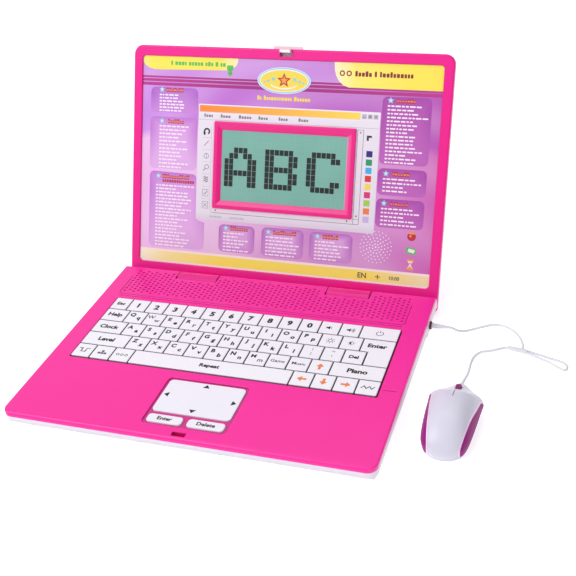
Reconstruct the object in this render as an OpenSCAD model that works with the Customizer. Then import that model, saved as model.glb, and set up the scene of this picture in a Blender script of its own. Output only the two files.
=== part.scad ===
// Toy laptop computer with a wired mouse. Millimetres, +X right, +Y back, +Z up, desk at z = 0.

/* [Base] */
// Width of the base and the lid
base_w = 330; // [328:1:334]
// Height of the keyboard deck above the desk
deck_z = 24; // [24:0.5:26]
// Height of the seam between the top and bottom shells
seam_z = 19.4; // [19:0.1:20]
// Wall thickness of the moulded shells
wall = 2.2; // [1.8:0.1:2.4]
// Radius of the two front corners, seen from above
front_r = 9; // [6:1:12]
// Height of the rubber feet
foot_h = 2; // [1.5:0.5:2]
// Radius of a rubber foot
foot_r = 6.5; // [5:0.5:7]

/* [Lid] */
// Angle between the closed lid and the lid as drawn
lid_open = 111.7; // [85:0.1:112]
// Length of the lid above the line where its face meets the deck plane
lid_up = 224.4; // [222:0.2:226]
// Length of the lid below that line
lid_down = 21.7; // [20:0.1:22]
// Thickness of the front bezel
bezel_t = 5; // [5:0.5:6]
// Thickness of the back cover
cover_t = 6; // [6:0.5:7]
// Radius of the two top corners of the lid
lid_r = 9.5; // [6:0.5:12]
// Gap between the lid and the deck when closed
closed_gap = 1.5; // [1.2:0.1:2]
// Half width of the printed activity panel
panel_hw = 155.3; // [150:0.1:156]

/* [Screen] */
// Width of the visible screen
lcd_w = 131.2; // [120:0.2:134]
// Height of the visible screen
lcd_h = 71.4; // [66:0.2:72]
// Width of the raised frame around the screen
lcd_rim = 8.6; // [7:0.1:10]

/* [Hinge] */
// Distance from the front of the base to the hinge axis
axis_y = 244.3; // [243:0.1:246]
// Radius of the two hinge barrels
barrel_r = 12; // [11:0.1:12]
// Length of a hinge barrel
barrel_l = 43.8; // [40:0.2:46]
// Distance from the middle of the base to the inner end of a barrel
barrel_x = 58; // [54:1:60]
// Radius of a hinge pin
pin_r = 2; // [1.5:0.1:2.5]

/* [Keys] */
// Distance between neighbouring letter keys
key_pitch = 19.6; // [19:0.05:19.6]
// Distance between key rows
row_pitch = 20.16; // [19.5:0.02:20.2]
// Gap between neighbouring keycaps
key_gap = 0.8; // [0.6:0.1:1.2]
// Height of the keycaps above the deck
key_proud = 0.9; // [0.5:0.1:1]
// Travel of a key
key_travel = 1.8; // [1.2:0.1:1.8]
// Width of the key field
field_w = 289.3; // [286:0.1:289.3]
// Distance from the front of the base to the front key row
field_y = 87.8; // [86:0.2:89]

/* [Touchpad] */
// Width of the four-way touchpad
pad_w = 71.2; // [66:0.2:72]
// Depth of the touchpad
pad_d = 43.6; // [40:0.2:44]
// Distance from the front of the base to the touchpad
pad_y = 30.9; // [30.5:0.1:32]
// Depth of the two buttons in front of the touchpad
pad_button_d = 10.4; // [9:0.2:11]

/* [Mouse] */
// Distance of the mouse from the middle of the laptop
mouse_x = 206.6; // [200:0.1:240]
// Distance of the mouse from the front line of the laptop
mouse_y = 95.3; // [70:0.1:110]
// Turn of the mouse seen from above
mouse_yaw = -0.8; // [-10:0.1:10]
// Length of the mouse
mouse_l = 97; // [92:1:100]
// Half width of the mouse at its front corners
mouse_hw = 22.2; // [20:0.1:24]
// Height of the mouse
mouse_h = 28.9; // [26:0.1:30]
// Radius of the scroll wheel
wheel_r = 7.6; // [7:0.1:8]

/* [Cable] */
// Diameter of the mouse cable
cable_d = 3; // [2.4:0.1:3.4]
// Radius of the plug's metal tip
plug_r = 1.75; // [1.2:0.05:1.75]

/* [Hidden] */
origin_x = 64.8;
origin_y = 177.2;
hw = base_w / 2;
axis_z = deck_z + closed_gap - 12.45;
rear_r = 11.9;
face_off = 12.45;
lid_tilt = 180 - lid_open;
lid_s0 = -16.75;
pad_cx = -1.2;
latch_x = -1;
mid_x = -1.2;
run = 0.06;
field_x0 = -144.65;
tray_z = deck_z - 5.5;
cap_h = 4.4;
row1 = 18.05; row2 = 24.05; row3 = 31.55; row4 = 45.25; row5 = 18.85;
bar_w = 152.85;
enter_foot = 22.35;
screen_s = 107;
jack_y = 219;
jack_z = 12.5;
speaker_x = -120.67;
speaker_y = 215.7;
case_screw_xy = [for (sx = [-1, 1], y = [44, 130, 203]) [sx * 150, y]];
lid_screw_xs = [for (sx = [-1, 1], s = [12, 110, 204]) [sx * 159, s]];
cell_y = [26.5, 42, 57.5];
bay = [-136, 17, -74, 67];
$fn = 32;

pink = [0.93, 0.16, 0.56];
white = [0.93, 0.93, 0.97];

// ---------- helpers ----------
function arc(cx, cy, r, a0, a1, n) = [for (i = [0:n]) let (a = a0 + (a1 - a0) * i / n) [cx + r * cos(a), cy + r * sin(a)]];
function rrect(x0, y0, x1, y1, r, n = 5) = concat(arc(x1 - r, y1 - r, r, 0, 90, n), arc(x0 + r, y1 - r, r, 90, 180, n),
    arc(x0 + r, y0 + r, r, 180, 270, n), arc(x1 - r, y0 + r, r, 270, 360, n));
function unit(v) = v / norm(v);
function spline(p, i, t) = let (n = len(p), a = p[max(i - 1, 0)], b = p[i], c = p[min(i + 1, n - 1)], d = p[min(i + 2, n - 1)])
    0.5 * ((2 * b) + (c - a) * t + (2 * a - 5 * b + 4 * c - d) * t * t + (3 * b - a - 3 * c + d) * t * t * t);
function smooth(p, k) = concat([for (i = [0:len(p) - 2], j = [0:k - 1]) spline(p, i, j / k)], [p[len(p) - 1]]);

module place() { translate([-origin_x, -origin_y, 0]) children(); }
module slab(x0, y0, x1, y1, z0, z1) { translate([x0, y0, z0]) cube([x1 - x0, y1 - y0, z1 - z0]); }
module rslab(x0, y0, x1, y1, r, z0, z1) { translate([0, 0, z0]) linear_extrude(z1 - z0) polygon(rrect(x0, y0, x1, y1, r)); }
module post(x, y, z0, z1, r) { translate([x, y, z0]) cylinder(r = r, h = z1 - z0); }
module xrod(x0, x1, y, z, r) { translate([x0, y, z]) rotate([0, 90, 0]) cylinder(r = r, h = x1 - x0); }
module on_lid() { translate([0, axis_y, axis_z]) rotate([lid_tilt, 0, 0]) translate([0, -lid_s0, -face_off]) children(); }
module on_mouse() { translate([mouse_x, mouse_y, 0]) rotate([0, 0, mouse_yaw]) children(); }

// A round cable along a list of points that never runs straight up
module tube(p, r, n = 8) {
    m = len(p);
    t = [for (i = [0:m - 1]) unit(p[min(i + 1, m - 1)] - p[max(i - 1, 0)])];
    s = [for (i = [0:m - 1]) unit(cross(t[i], [0, 0, 1]))];
    u = [for (i = [0:m - 1]) cross(s[i], t[i])];
    pts = [for (i = [0:m - 1], k = [0:n - 1]) p[i] + r * cos(360 * k / n) * s[i] + r * sin(360 * k / n) * u[i]];
    polyhedron(pts, concat([[for (k = [n - 1:-1:0]) k]], [[for (k = [0:n - 1]) (m - 1) * n + k]],
        [for (i = [0:m - 2], k = [0:n - 1]) [i * n + k, i * n + (k + 1) % n, (i + 1) * n + (k + 1) % n, (i + 1) * n + k]]));
}
// A compression spring along +Z
module coil(r, wire, length, turns, n = 6) {
    m = turns * 12;
    pts = [for (i = [0:m], k = [0:n - 1]) let (a = 30 * i, b = 360 * k / n)
        [(r + wire * cos(b)) * cos(a), (r + wire * cos(b)) * sin(a), wire + (length - 2 * wire) * i / m + wire * sin(b)]];
    polyhedron(pts, concat([[for (k = [n - 1:-1:0]) k]], [[for (k = [0:n - 1]) m * n + k]],
        [for (i = [0:m - 1], k = [0:n - 1]) [i * n + k, i * n + (k + 1) % n, (i + 1) * n + (k + 1) % n, (i + 1) * n + k]]));
}
// Self-tapping screw, head down
module screw(x, y, z, head_r, head_h, shank_r, shank_l) {
    difference() {
        union() { post(x, y, z, z + head_h, head_r); post(x, y, z + head_h - 0.01, z + head_h + shank_l, shank_r); }
        slab(x - 1.6, y - 0.35, x + 1.6, y + 0.35, z - 1, z + 0.8);
        slab(x - 0.35, y - 1.6, x + 0.35, y + 1.6, z - 1, z + 0.8);
    }
}

// ---------- base ----------
plan = concat(arc(front_r - hw, front_r, front_r, 180, 270, 8), arc(hw - front_r, front_r, front_r, 270, 360, 8),
    [[hw, 262], [-hw, 262]]);
rear_a = asin((deck_z - axis_z) / rear_r);
profile = concat([[0, foot_h]], arc(3.5, deck_z - 3.5, 3.5, 180, 90, 6), arc(axis_y, axis_z, rear_r, rear_a, -60, 16),
    [[axis_y + 5.4, foot_h]]);
module base_body(z0, z1) {
    intersection() {
        translate([0, 0, z0]) linear_extrude(z1 - z0) polygon(plan);
        rotate([90, 0, 90]) translate([0, 0, -hw - 1]) linear_extrude(base_w + 2) polygon(profile);
    }
}
// The space inside the base, from the front wall to the rounded rear wall
module base_room(z0, z1, inset) {
    rslab(inset - hw, inset, hw - inset, 229.3, front_r - 2, z0, z1);
    intersection() {
        union() {
            for (s = [[inset - hw, -barrel_x - barrel_l - 5.6], [5.6 - barrel_x, barrel_x - 5.6], [barrel_x + barrel_l + 5.6, hw - inset]])
                xrod(s[0], s[1], axis_y, axis_z, rear_r - wall);
            for (s = [[inset - hw, -barrel_x - barrel_l - 5.6], [5.6 - barrel_x, barrel_x - 5.6], [barrel_x + barrel_l + 5.6, hw - inset]])
                slab(s[0], 225, s[1], axis_y, z0, z1);
        }
        slab(-hw, 220, hw, 262, z0, z1);
    }
}
module hinge_blocks(z0, z1) {
    intersection() {
        base_body(z0, z1);
        for (sx = [-1, 1]) translate([sx * (barrel_x + barrel_l / 2), 0, 0]) slab(-barrel_l / 2 - 5.6, 227, barrel_l / 2 + 5.6, 262, z0, z1);
    }
}
module hinge_notches() {
    for (sx = [-1, 1]) translate([sx * (barrel_x + barrel_l / 2), 0, 0]) {
        xrod(-barrel_l / 2 - 0.6, barrel_l / 2 + 0.6, axis_y, axis_z, barrel_r + 0.6);
        slab(-barrel_l / 2 - 0.6, axis_y - 9.3, barrel_l / 2 + 0.6, 265, axis_z + 6, deck_z + 5);
        slab(-barrel_l / 2 - 0.6, axis_y, barrel_l / 2 + 0.6, 265, -5, deck_z + 5);
    }
}
// Cell rectangles of the key rows: [x0, row, x1], counted from the back row
function cell(row, w0, i) = [field_x0 + w0 + (i - 1) * key_pitch, row, field_x0 + w0 + i * key_pitch];
function first(row, w0) = [field_x0, row, field_x0 + w0];
function rest(row, w0, n) = [field_x0 + w0 + n * key_pitch, row, field_x0 + field_w];
function row_y(row) = field_y + (5 - row) * row_pitch;
c_esc = [first(1, row1)];
c_num = [for (i = [1:10]) cell(1, row1, i)];
c_vol = [cell(1, row1, 11), cell(1, row1, 12)];
c_pow = [rest(1, row1, 12)];
c_help = [first(2, row2)];
c_top = [for (i = [1:10]) cell(2, row2, i)];
c_bri = [cell(2, row2, 11)];
c_con = [cell(2, row2, 12)];
c_clock = [first(3, row3)];
c_home = [for (i = [1:11]) cell(3, row3, i)];
c_del = [cell(3, row3, 12)];
c_level = [first(4, row4)];
c_bot = [for (i = [1:7]) cell(4, row4, i)];
c_mode = [cell(4, row4, 8), cell(4, row4, 9)];
c_up = [cell(4, row4, 10)];
c_piano = [rest(4, row4, 10)];
x_bar = field_x0 + row5 + 2 * key_pitch + bar_w;
c_bar = [[x_bar - bar_w, 5, x_bar]];
c_left = [[x_bar, 5, x_bar + key_pitch]];
c_down = [[x_bar + key_pitch, 5, x_bar + 2 * key_pitch]];
c_right = [[x_bar + 2 * key_pitch, 5, x_bar + 3 * key_pitch]];
c_game = concat([first(5, row5)], [for (i = [1:2]) cell(5, row5, i)], [[x_bar + 3 * key_pitch, 5, field_x0 + field_w]]);
enter_x = field_x0 + row2 + 12 * key_pitch;
enter_lx = field_x0 + field_w - enter_foot;
c_all = concat(c_esc, c_num, c_vol, c_pow, c_help, c_top, c_bri, c_con, c_clock, c_home, c_del, c_level, c_bot, c_mode,
    c_up, c_piano, c_bar, c_left, c_down, c_right, c_game);
stems = concat([for (c = c_all) [(c[0] + c[2]) / 2, row_y(c[1]) + row_pitch / 2]],
    [[(enter_lx + field_x0 + field_w) / 2, row_y(3) + row_pitch]],
    [for (sx = [-1, 1]) [x_bar - bar_w / 2 + sx * 60, row_y(5) + row_pitch / 2]]);
pad_x0 = pad_cx - pad_w / 2;
pad_x1 = pad_cx + pad_w / 2;
pad_btn_y = 16.35;
enter_btn = [pad_x0 + 0.8, pad_cx - 3];
delete_btn = [pad_cx + 1.5, pad_x1 - 0.9];

module base_top_shell() {
    place() color(pink) difference() {
        union() {
            difference() {
                base_body(seam_z, deck_z);
                base_room(seam_z - 1, deck_z - wall, 2.4);
            }
            hinge_blocks(seam_z, deck_z);
            rslab(field_x0 - 2.2, field_y - 2.2, field_x0 + field_w + 2.2, row_y(1) + row_pitch + 2.2, 2, tray_z - 1.6, deck_z - 0.5);
            rslab(pad_x0 - 4, 12.2, pad_x1 + 4, pad_y + pad_d + 4.6, 5, deck_z - wall - 1, deck_z - 0.5);
            for (p = case_screw_xy) post(p[0], p[1], 12, deck_z - 1, 3);
        }
        // keyboard tray with a guide hole for each key stem
        rslab(field_x0 - 0.5, field_y - 0.5, field_x0 + field_w + 0.5, row_y(1) + row_pitch + 0.5, 1.6, tray_z, deck_z + 5);
        for (p = stems) slab(p[0] - 3.1, p[1] - 3.1, p[0] + 3.1, p[1] + 3.1, tray_z - 5, tray_z + 1);
        // recess and openings of the touchpad and its two buttons
        rslab(pad_x0 - 2.2, 14, pad_x1 + 2.2, pad_y + pad_d + 2.4, 4.6, deck_z - 1, deck_z + 5);
        rslab(pad_x0 - 0.4, pad_y - 0.4, pad_x1 + 0.4, pad_y + pad_d + 0.4, 4.3, deck_z - 9, deck_z + 1);
        for (b = [enter_btn, delete_btn]) rslab(b[0] - 0.3, pad_btn_y - 0.3, b[1] + 0.3, pad_btn_y + pad_button_d + 0.3, 3.7, deck_z - 9, deck_z + 1);
        // slot for the latch hook
        slab(latch_x - 6, 3.4, latch_x + 6, 8.3, deck_z - 9, deck_z + 1);
        hinge_notches();
        // sound holes over the speaker, and the shallow line around the grille
        for (i = [-3:3], j = [-3:3]) let (dx = i * 4.767, dy = j * 4.8 + (i % 2 == 0 ? 0 : 2.4)) if (norm([dx, dy]) < 11.4)
            post(speaker_x + dx, speaker_y + dy, deck_z - 9, deck_z + 1, 0.95);
        difference() {
            rslab(-148.7, 197.2, 145.7, 246.5, 4, deck_z - 0.5, deck_z + 1);
            rslab(-147.9, 198, 144.9, 246, 3.4, deck_z - 2, deck_z + 2);
            slab(-150, 231, 150, 262, deck_z - 2, deck_z + 2);
        }
        for (p = case_screw_xy) post(p[0], p[1], 11, 18.5, 1.3);
    }
}

module base_bottom_shell() {
    place() color(white) difference() {
        union() {
            difference() {
                base_body(foot_h, seam_z);
                for (sx = [-1, 1]) mirror([sx < 0 ? 1 : 0, 0, 0])
                    translate([hw, 0, 14.6]) rotate([-1.17, 0, 0]) rotate([0, 45, 0]) translate([0, -20, -60]) cube([60, 320, 60]);
                translate([0, 0, 14.6]) rotate([45, 0, 0]) translate([-200, -60, -60]) cube([400, 60, 60]);
                base_room(14.2, seam_z + 1, 2.4);
                base_room(11, 14.3, 7);
                base_room(7.5, 11.1, 10.5);
                base_room(foot_h + wall, 7.6, 14);
            }
            hinge_blocks(foot_h, seam_z);
            for (p = case_screw_xy) { post(p[0], p[1], foot_h + 0.2, 8, 4.6); post(p[0], p[1], 7, 11.8, 3); }
            // battery bay walls and the screw boss of its door
            slab(bay[0] - 1.6, bay[1] - 1.6, bay[2] + 1.6, bay[3] + 1.6, foot_h + 0.5, 17);
            post(-105, 72.6, foot_h + 0.5, 12, 3.4);
            slab(-107.4, bay[3] + 0.5, -102.6, 72.6, foot_h + 1, 12);
            // socket bracket
            slab(148.5, jack_y - 7, hw - 1, jack_y + 7, foot_h + wall - 0.5, seam_z - 0.3);
        }
        slab(bay[0], bay[1], bay[2], bay[3], -1, 30);
        slab(-112, bay[3] - 1, -98, 77.4, -1, foot_h + wall);
        post(-105, 72.6, 2, 10.5, 1.3);
        hinge_notches();
        for (s = [-1, 1]) xrod(s > 0 ? barrel_x - 5.7 : -barrel_x - barrel_l - 3.2, s > 0 ? barrel_x + barrel_l + 3.2 : -barrel_x + 5.7, axis_y, axis_z, pin_r + 0.01);
        for (p = case_screw_xy) { post(p[0], p[1], -1, 4.4, 3); post(p[0], p[1], -1, 13, 1.6); }
        xrod(150, hw + 2, jack_y, jack_z, 4.5);
        slab(140, jack_y - 5, 150.6, jack_y + 5, foot_h + wall, seam_z + 1);
    }
}

module battery_door() {
    place() color([0.88, 0.88, 0.92]) difference() {
        union() {
            rslab(bay[0] + 0.3, bay[1] + 0.3, bay[2] - 0.3, bay[3] - 0.3, 1, foot_h, foot_h + 2);
            rslab(-111.7, bay[3] - 2, -98.3, 77.1, 1, foot_h, foot_h + 2);
        }
        for (i = [0:4]) slab(-118, 24 + i * 3.2, -92, 25.4 + i * 3.2, foot_h - 1, foot_h + 0.6);
        post(-105, 72.6, 1, 8, 1.6);
        post(-105, 72.6, 1, foot_h + 0.8, 2.8);
    }
}
module battery_door_screw() { place() color([0.7, 0.7, 0.72]) screw(-105, 72.6, foot_h - 0.3, 2.5, 1.1, 1.22, 6); }
module batteries() {
    place() color([0.2, 0.2, 0.22]) for (i = [0:2]) let (d = i % 2 == 0 ? 1 : -1) {
        xrod(-129.4, -80.6, cell_y[i], 12, 7.15);
        xrod(d > 0 ? -80.7 : -130.6, d > 0 ? -79.4 : -129.3, cell_y[i], 12, 2.7);
    }
}
module battery_contacts() {
    place() color([0.75, 0.76, 0.78]) for (i = [0:2]) let (d = i % 2 == 0 ? 1 : -1) {
        slab(d > 0 ? -74.7 : -135.9, cell_y[i] - 5, d > 0 ? -74.1 : -135.3, cell_y[i] + 5, 6, 17);
        slab(d > 0 ? -135.9 : -74.7, cell_y[i] - 5, d > 0 ? -135.3 : -74.1, cell_y[i] + 5, 6, 17);
        slab(d > 0 ? -79.2 : -135.3, cell_y[i] - 2, d > 0 ? -74.7 : -130.8, cell_y[i] + 2, 10, 14);
        translate([d > 0 ? -129.6 : -80.4, cell_y[i], 12]) rotate([0, d > 0 ? -90 : 90, 0]) coil(3.4, 0.4, 5.6, 3);
    }
}
module rubber_feet() {
    place() color([0.3, 0.3, 0.32]) for (sx = [-1, 1], y = [21.5, 228]) difference() {
        post(sx * 144.5, y, 0, foot_h, foot_r);
        post(sx * 144.5, y, -1, 0.5, foot_r - 3);
    }
}
module case_screws() { place() color([0.7, 0.7, 0.72]) for (p = case_screw_xy) screw(p[0], p[1], 2.6, 2.7, 1.7, 1.24, 12.4); }
module hinge_pins() {
    place() color([0.72, 0.73, 0.75]) for (s = [-1, 1])
        xrod(s > 0 ? barrel_x - 5.5 : -barrel_x - barrel_l - 3, s > 0 ? barrel_x + barrel_l + 3 : -barrel_x + 5.5, axis_y, axis_z, pin_r);
}
module main_board() {
    place() color([0.1, 0.42, 0.24]) {
        difference() {
            union() {
                slab(-142, 83, 142, 226, 10, 11.5);
                slab(-44, 13.5, 42, 84, 10, 11.5);
            }
            slab(-150, 84, -141, 92, 5, 15);
        }
        slab(-20, 196, 6, 222, 11.5, 13.2);
        post(34, 210, 11.5, 17, 4);
    }
}
module keypad_mat() {
    place() color([0.8, 0.8, 0.82]) {
        slab(field_x0 + 3, field_y + 1, field_x0 + field_w - 3, row_y(1) + row_pitch - 1, 11.5, 12.3);
        slab(pad_x0 + 1, 15.5, pad_x1 - 1, field_y + 2, 11.5, 12.3);
        for (p = concat(stems, [for (b = [enter_btn, delete_btn]) [(b[0] + b[1]) / 2, pad_btn_y + pad_button_d / 2]],
            [for (sy = [-1, 1]) [pad_cx, pad_y + pad_d / 2 + sy * 16], for (sx = [-1, 1]) [pad_cx + sx * 28, pad_y + pad_d / 2]]))
            translate([p[0], p[1], 12.3]) cylinder(r1 = 3.4, r2 = 2.2, h = 2.2);
    }
}
module speaker() {
    place() color([0.25, 0.25, 0.28]) difference() {
        union() { post(speaker_x, speaker_y, 18.6, deck_z - wall, 14.5); post(speaker_x, speaker_y, 13, 18.7, 8.5); }
        post(speaker_x, speaker_y, 20.4, deck_z, 12.6);
    }
}
module mouse_jack() {
    place() color([0.12, 0.12, 0.14]) difference() {
        union() {
            xrod(150.2, 163.2, jack_y, jack_z, 4.3);
            slab(144, jack_y - 4.6, 150.4, jack_y + 4.6, jack_z - 5, jack_z + 5);
        }
        xrod(148, 170, jack_y, jack_z, plug_r + run);
    }
}

// ---------- keys ----------
module keycap(x0, y0, x1, y1) {
    top = deck_z + key_proud;
    g = key_gap / 2;
    difference() {
        rslab(x0 + g, y0 + g, x1 - g, y1 - g, 1, top - cap_h, top);
        slab(x0 + g + 1.3, y0 + g + 1.3, x1 - g - 1.3, y1 - g - 1.3, top - cap_h - 1, top - 1.4);
    }
}
module stem(x, y, w = 2.9) { slab(x - w, y - w, x + w, y + w, 14.7, deck_z + key_proud - 1); }
module keys(cells) {
    place() color(white) for (c = cells) {
        keycap(c[0], row_y(c[1]), c[2], row_y(c[1]) + row_pitch);
        stem((c[0] + c[2]) / 2, row_y(c[1]) + row_pitch / 2);
    }
}
module key_enter() {
    g = key_gap / 2;
    x2 = field_x0 + field_w;
    y0 = row_y(3);
    top = deck_z + key_proud;
    place() color(white) {
        difference() {
            union() {
                rslab(enter_x + g, row_y(2) + g, x2 - g, row_y(1) - g, 1, top - cap_h, top);
                rslab(enter_lx + g, y0 + g, x2 - g, row_y(1) - g, 1, top - cap_h, top);
            }
            slab(enter_x + g + 1.3, row_y(2) + g + 1.3, x2 - g - 1.3, row_y(1) - g - 1.3, top - cap_h - 1, top - 1.4);
            slab(enter_lx + g + 1.3, y0 + g + 1.3, x2 - g - 1.3, row_y(1) - g - 1.3, top - cap_h - 1, top - 1.4);
        }
        stem((enter_lx + x2) / 2, row_y(3) + row_pitch);
    }
}
module key_repeat() {
    keys(c_bar);
    place() color(white) for (sx = [-1, 1]) stem(x_bar - bar_w / 2 + sx * 60, row_y(5) + row_pitch / 2);
}
module key_esc() { keys(c_esc); }
module number_keys() { keys(c_num); }
module volume_keys() { keys(c_vol); }
module key_power() { keys(c_pow); }
module key_help() { keys(c_help); }
module top_letter_keys() { keys(c_top); }
module key_brightness() { keys(c_bri); }
module key_contrast() { keys(c_con); }
module key_clock() { keys(c_clock); }
module home_letter_keys() { keys(c_home); }
module key_delete() { keys(c_del); }
module key_level() { keys(c_level); }
module bottom_letter_keys() { keys(c_bot); }
module mode_keys() { keys(c_mode); }
module key_arrow_up() { keys(c_up); }
module key_piano() { keys(c_piano); }
module game_keys() { keys(c_game); }
module key_arrow_left() { keys(c_left); }
module key_arrow_down() { keys(c_down); }
module key_arrow_right() { keys(c_right); }

// ---------- touchpad ----------
module touchpad() {
    place() color(white) {
        difference() {
            rslab(pad_x0, pad_y, pad_x1, pad_y + pad_d, 4, deck_z - 2.6, deck_z);
            rslab(pad_x0 + 1.6, pad_y + 1.6, pad_x1 - 1.6, pad_y + pad_d - 1.6, 2.4, deck_z - 4, deck_z - 1.4);
        }
        for (sy = [-1, 1]) post(pad_cx, pad_y + pad_d / 2 + sy * 16, 15.4, deck_z - 1, 1.8);
        for (sx = [-1, 1]) post(pad_cx + sx * 28, pad_y + pad_d / 2, 15.4, deck_z - 1, 1.8);
    }
}
module pad_button(b) {
    place() color(white) {
        rslab(b[0], pad_btn_y, b[1], pad_btn_y + pad_button_d, 3.4, deck_z - 2.4, deck_z + 0.3);
        post((b[0] + b[1]) / 2, pad_btn_y + pad_button_d / 2, 14.7, deck_z - 2, 2.4);
    }
}
module pad_enter_button() { pad_button(enter_btn); }
module pad_delete_button() { pad_button(delete_btn); }

// ---------- lid ----------
lid_plan = concat(arc(hw - lid_r, lid_up - lid_r, lid_r, 0, 90, 8), arc(lid_r - hw, lid_up - lid_r, lid_r, 90, 180, 8),
    arc(3 - hw, 3 - lid_down, 3, 180, 270, 3), arc(hw - 3, 3 - lid_down, 3, 270, 360, 3));
module lid_prism(z0, z1) { translate([0, 0, z0]) linear_extrude(z1 - z0) polygon(lid_plan); }
lcd_x0 = mid_x - lcd_w / 2 + 1.1;
lcd_x1 = lcd_x0 + lcd_w;
lcd_s0 = screen_s - lcd_h / 2;
lcd_s1 = screen_s + lcd_h / 2;
module lid_front_bezel() {
    place() on_lid() color(pink) difference() {
        union() {
            difference() {
                lid_prism(-bezel_t, 0);
                rslab(-panel_hw, 1, panel_hw, 214.1, 4, -1.8, 5);
                rslab(wall - hw, 3 - lid_down, hw - wall, lid_up - wall, 6, -9, -3.6);
            }
            for (p = lid_screw_xs) post(p[0], p[1], -bezel_t, -3, 3);
            for (sx = [-1, 1]) translate([sx * (barrel_x + barrel_l / 2), 0, 0]) {
                xrod(-barrel_l / 2, barrel_l / 2, lid_s0, face_off, barrel_r);
                slab(-barrel_l / 2, -lid_down, barrel_l / 2, lid_s0 + 6, -bezel_t, face_off - 2);
            }
        }
        for (sx = [-1, 1]) translate([sx * (barrel_x + barrel_l / 2), 0, 0]) xrod(-40, 40, lid_s0, face_off, pin_r + run);
        slab(lcd_x0 - 3, lcd_s0 - 3, lcd_x1 + 3, lcd_s1 + 3, -9, 1);
        slab(latch_x - 6.5, 217, latch_x + 6.5, 223.2, -9, 1);
        slab(latch_x - 16.5, 202, latch_x + 16.5, lid_up - wall, -bezel_t - 1, -3.6);
        for (p = lid_screw_xs) post(p[0], p[1], -9, -1.4, 1.3);
    }
}
module lid_back_cover() {
    place() on_lid() color(pink) difference() {
        union() {
            difference() {
                intersection() {
                    lid_prism(-bezel_t - cover_t, -bezel_t);
                    rotate([90, 0, 90]) translate([0, 0, -hw - 1]) linear_extrude(base_w + 2)
                        polygon(concat([[-lid_down, 0], [-lid_down, -bezel_t], [6 - lid_down, -bezel_t - cover_t]],
                            arc(lid_up - 3, -bezel_t - cover_t + 3, 3, 270, 360, 5), [[lid_up, 0]]));
                }
                rslab(wall - hw, 10 - lid_down, hw - wall, lid_up - wall, 6, -bezel_t - cover_t + 2, 1);
            }
            for (p = lid_screw_xs) post(p[0], p[1], -bezel_t - cover_t + 1, -bezel_t, 3.5);
            slab(latch_x - 6, 190, latch_x + 6, 192, -bezel_t - cover_t + 1, -5.4);
        }
        for (p = lid_screw_xs) { post(p[0], p[1], -20, -9.2, 3); post(p[0], p[1], -20, 0, 1.6); }
        slab(latch_x - 15.5, lid_up - 5, latch_x + 15.5, lid_up + 1, -8.6, -5.8);
        slab(latch_x - 6.5, 217, latch_x + 6.5, 223.2, -8.6, 1);
    }
}
module activity_panel() {
    place() on_lid() color([0.78, 0.5, 0.84]) difference() {
        rslab(-panel_hw + 0.2, 1.2, panel_hw - 0.2, 213.9, 3.8, -1.8, -1.5);
        slab(lcd_x0 - 3, lcd_s0 - 3, lcd_x1 + 3, lcd_s1 + 3, -9, 1);
    }
}
module lcd_frame() {
    place() on_lid() color(pink) difference() {
        rslab(lcd_x0 - lcd_rim, lcd_s0 - lcd_rim, lcd_x1 + lcd_rim, lcd_s1 + lcd_rim, 1, -1.5, -0.1);
        slab(lcd_x0, lcd_s0, lcd_x1, lcd_s1, -9, 1);
    }
}
module lcd_glass() {
    place() on_lid() color([0.45, 0.72, 0.65]) slab(lcd_x0 - 2.8, lcd_s0 - 2.8, lcd_x1 + 2.8, lcd_s1 + 2.8, -3.6, -1.6);
}
module lcd_board() {
    place() on_lid() color([0.1, 0.42, 0.24]) {
        slab(lcd_x0 - 9, lcd_s0 - 9, lcd_x1 + 9, lcd_s1 + 9, -5.3, -3.8);
        slab(-14, lcd_s0 + 20, 14, lcd_s0 + 48, -6.8, -5.3);
    }
}
module lid_screws() {
    place() on_lid() color([0.7, 0.7, 0.72]) for (p = lid_screw_xs) screw(p[0], p[1], -10.8, 2.7, 1.6, 1.24, 7.4);
}
module latch() {
    place() on_lid() color(white) {
        slab(latch_x - 5.3, 220.9, latch_x + 5.3, 222.8, -8.2, 4.5);
        slab(latch_x - 5.3, 222.7, latch_x + 5.3, 223.9, 2.6, 4.5);
        slab(latch_x - 14, 204, latch_x + 14, 222, -8.2, -6);
        rslab(latch_x - 15, 219, latch_x + 15, lid_up + 3, 1.4, -8.2, -6);
    }
}
module latch_spring() {
    place() on_lid() color([0.75, 0.76, 0.78]) translate([latch_x, 192.1, -7.1]) rotate([-90, 0, 0]) coil(1.4, 0.3, 11.8, 7);
}

// ---------- mouse ----------
mouse_plan = [[-48.5, 0.06], [-48, 0.28], [-47, 0.4], [-45, 0.54], [-42, 0.71], [-38, 0.81], [-32, 0.885], [-22, 0.94], [-8, 0.985],
    [2, 1.01], [10, 1.02], [16, 1.045], [19.5, 1.055], [22.5, 1.02], [28, 0.82], [34, 0.59], [40, 0.42], [45, 0.26], [48.5, 0.1]];
mouse_crown = [[-48.5, 0.18], [-47, 0.304], [-44.5, 0.437], [-41, 0.58], [-36, 0.715], [-29, 0.86], [-20, 0.965], [-9, 1], [2, 0.99],
    [12, 0.925], [18, 0.805], [22, 0.71], [26, 0.61], [30, 0.525], [34, 0.455], [38, 0.385], [44, 0.305], [48.5, 0.255]];
grip_line = [[-50, 11.6], [-45, 12.1], [-42, 12.6], [-38, 13.4], [-33, 14.2], [-26, 15.2], [-20, 15.8], [-10, 17], [0, 18.3], [8, 19], [13, 19.4], [16, 20], [19, 21], [21.5, 22.6]];
grip_skew = 0.8;
function m_half(v) = mouse_hw * lookup(v, mouse_plan);
function m_top(v) = mouse_h * lookup(v, mouse_crown);
stations = [-48.5, -48, -47, -45, -42, -38, -33, -27, -20, -12, -4, 4, 11, 15.5, 19, 22, 25, 28.5, 32, 37, 42, 46, 48.5];
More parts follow.
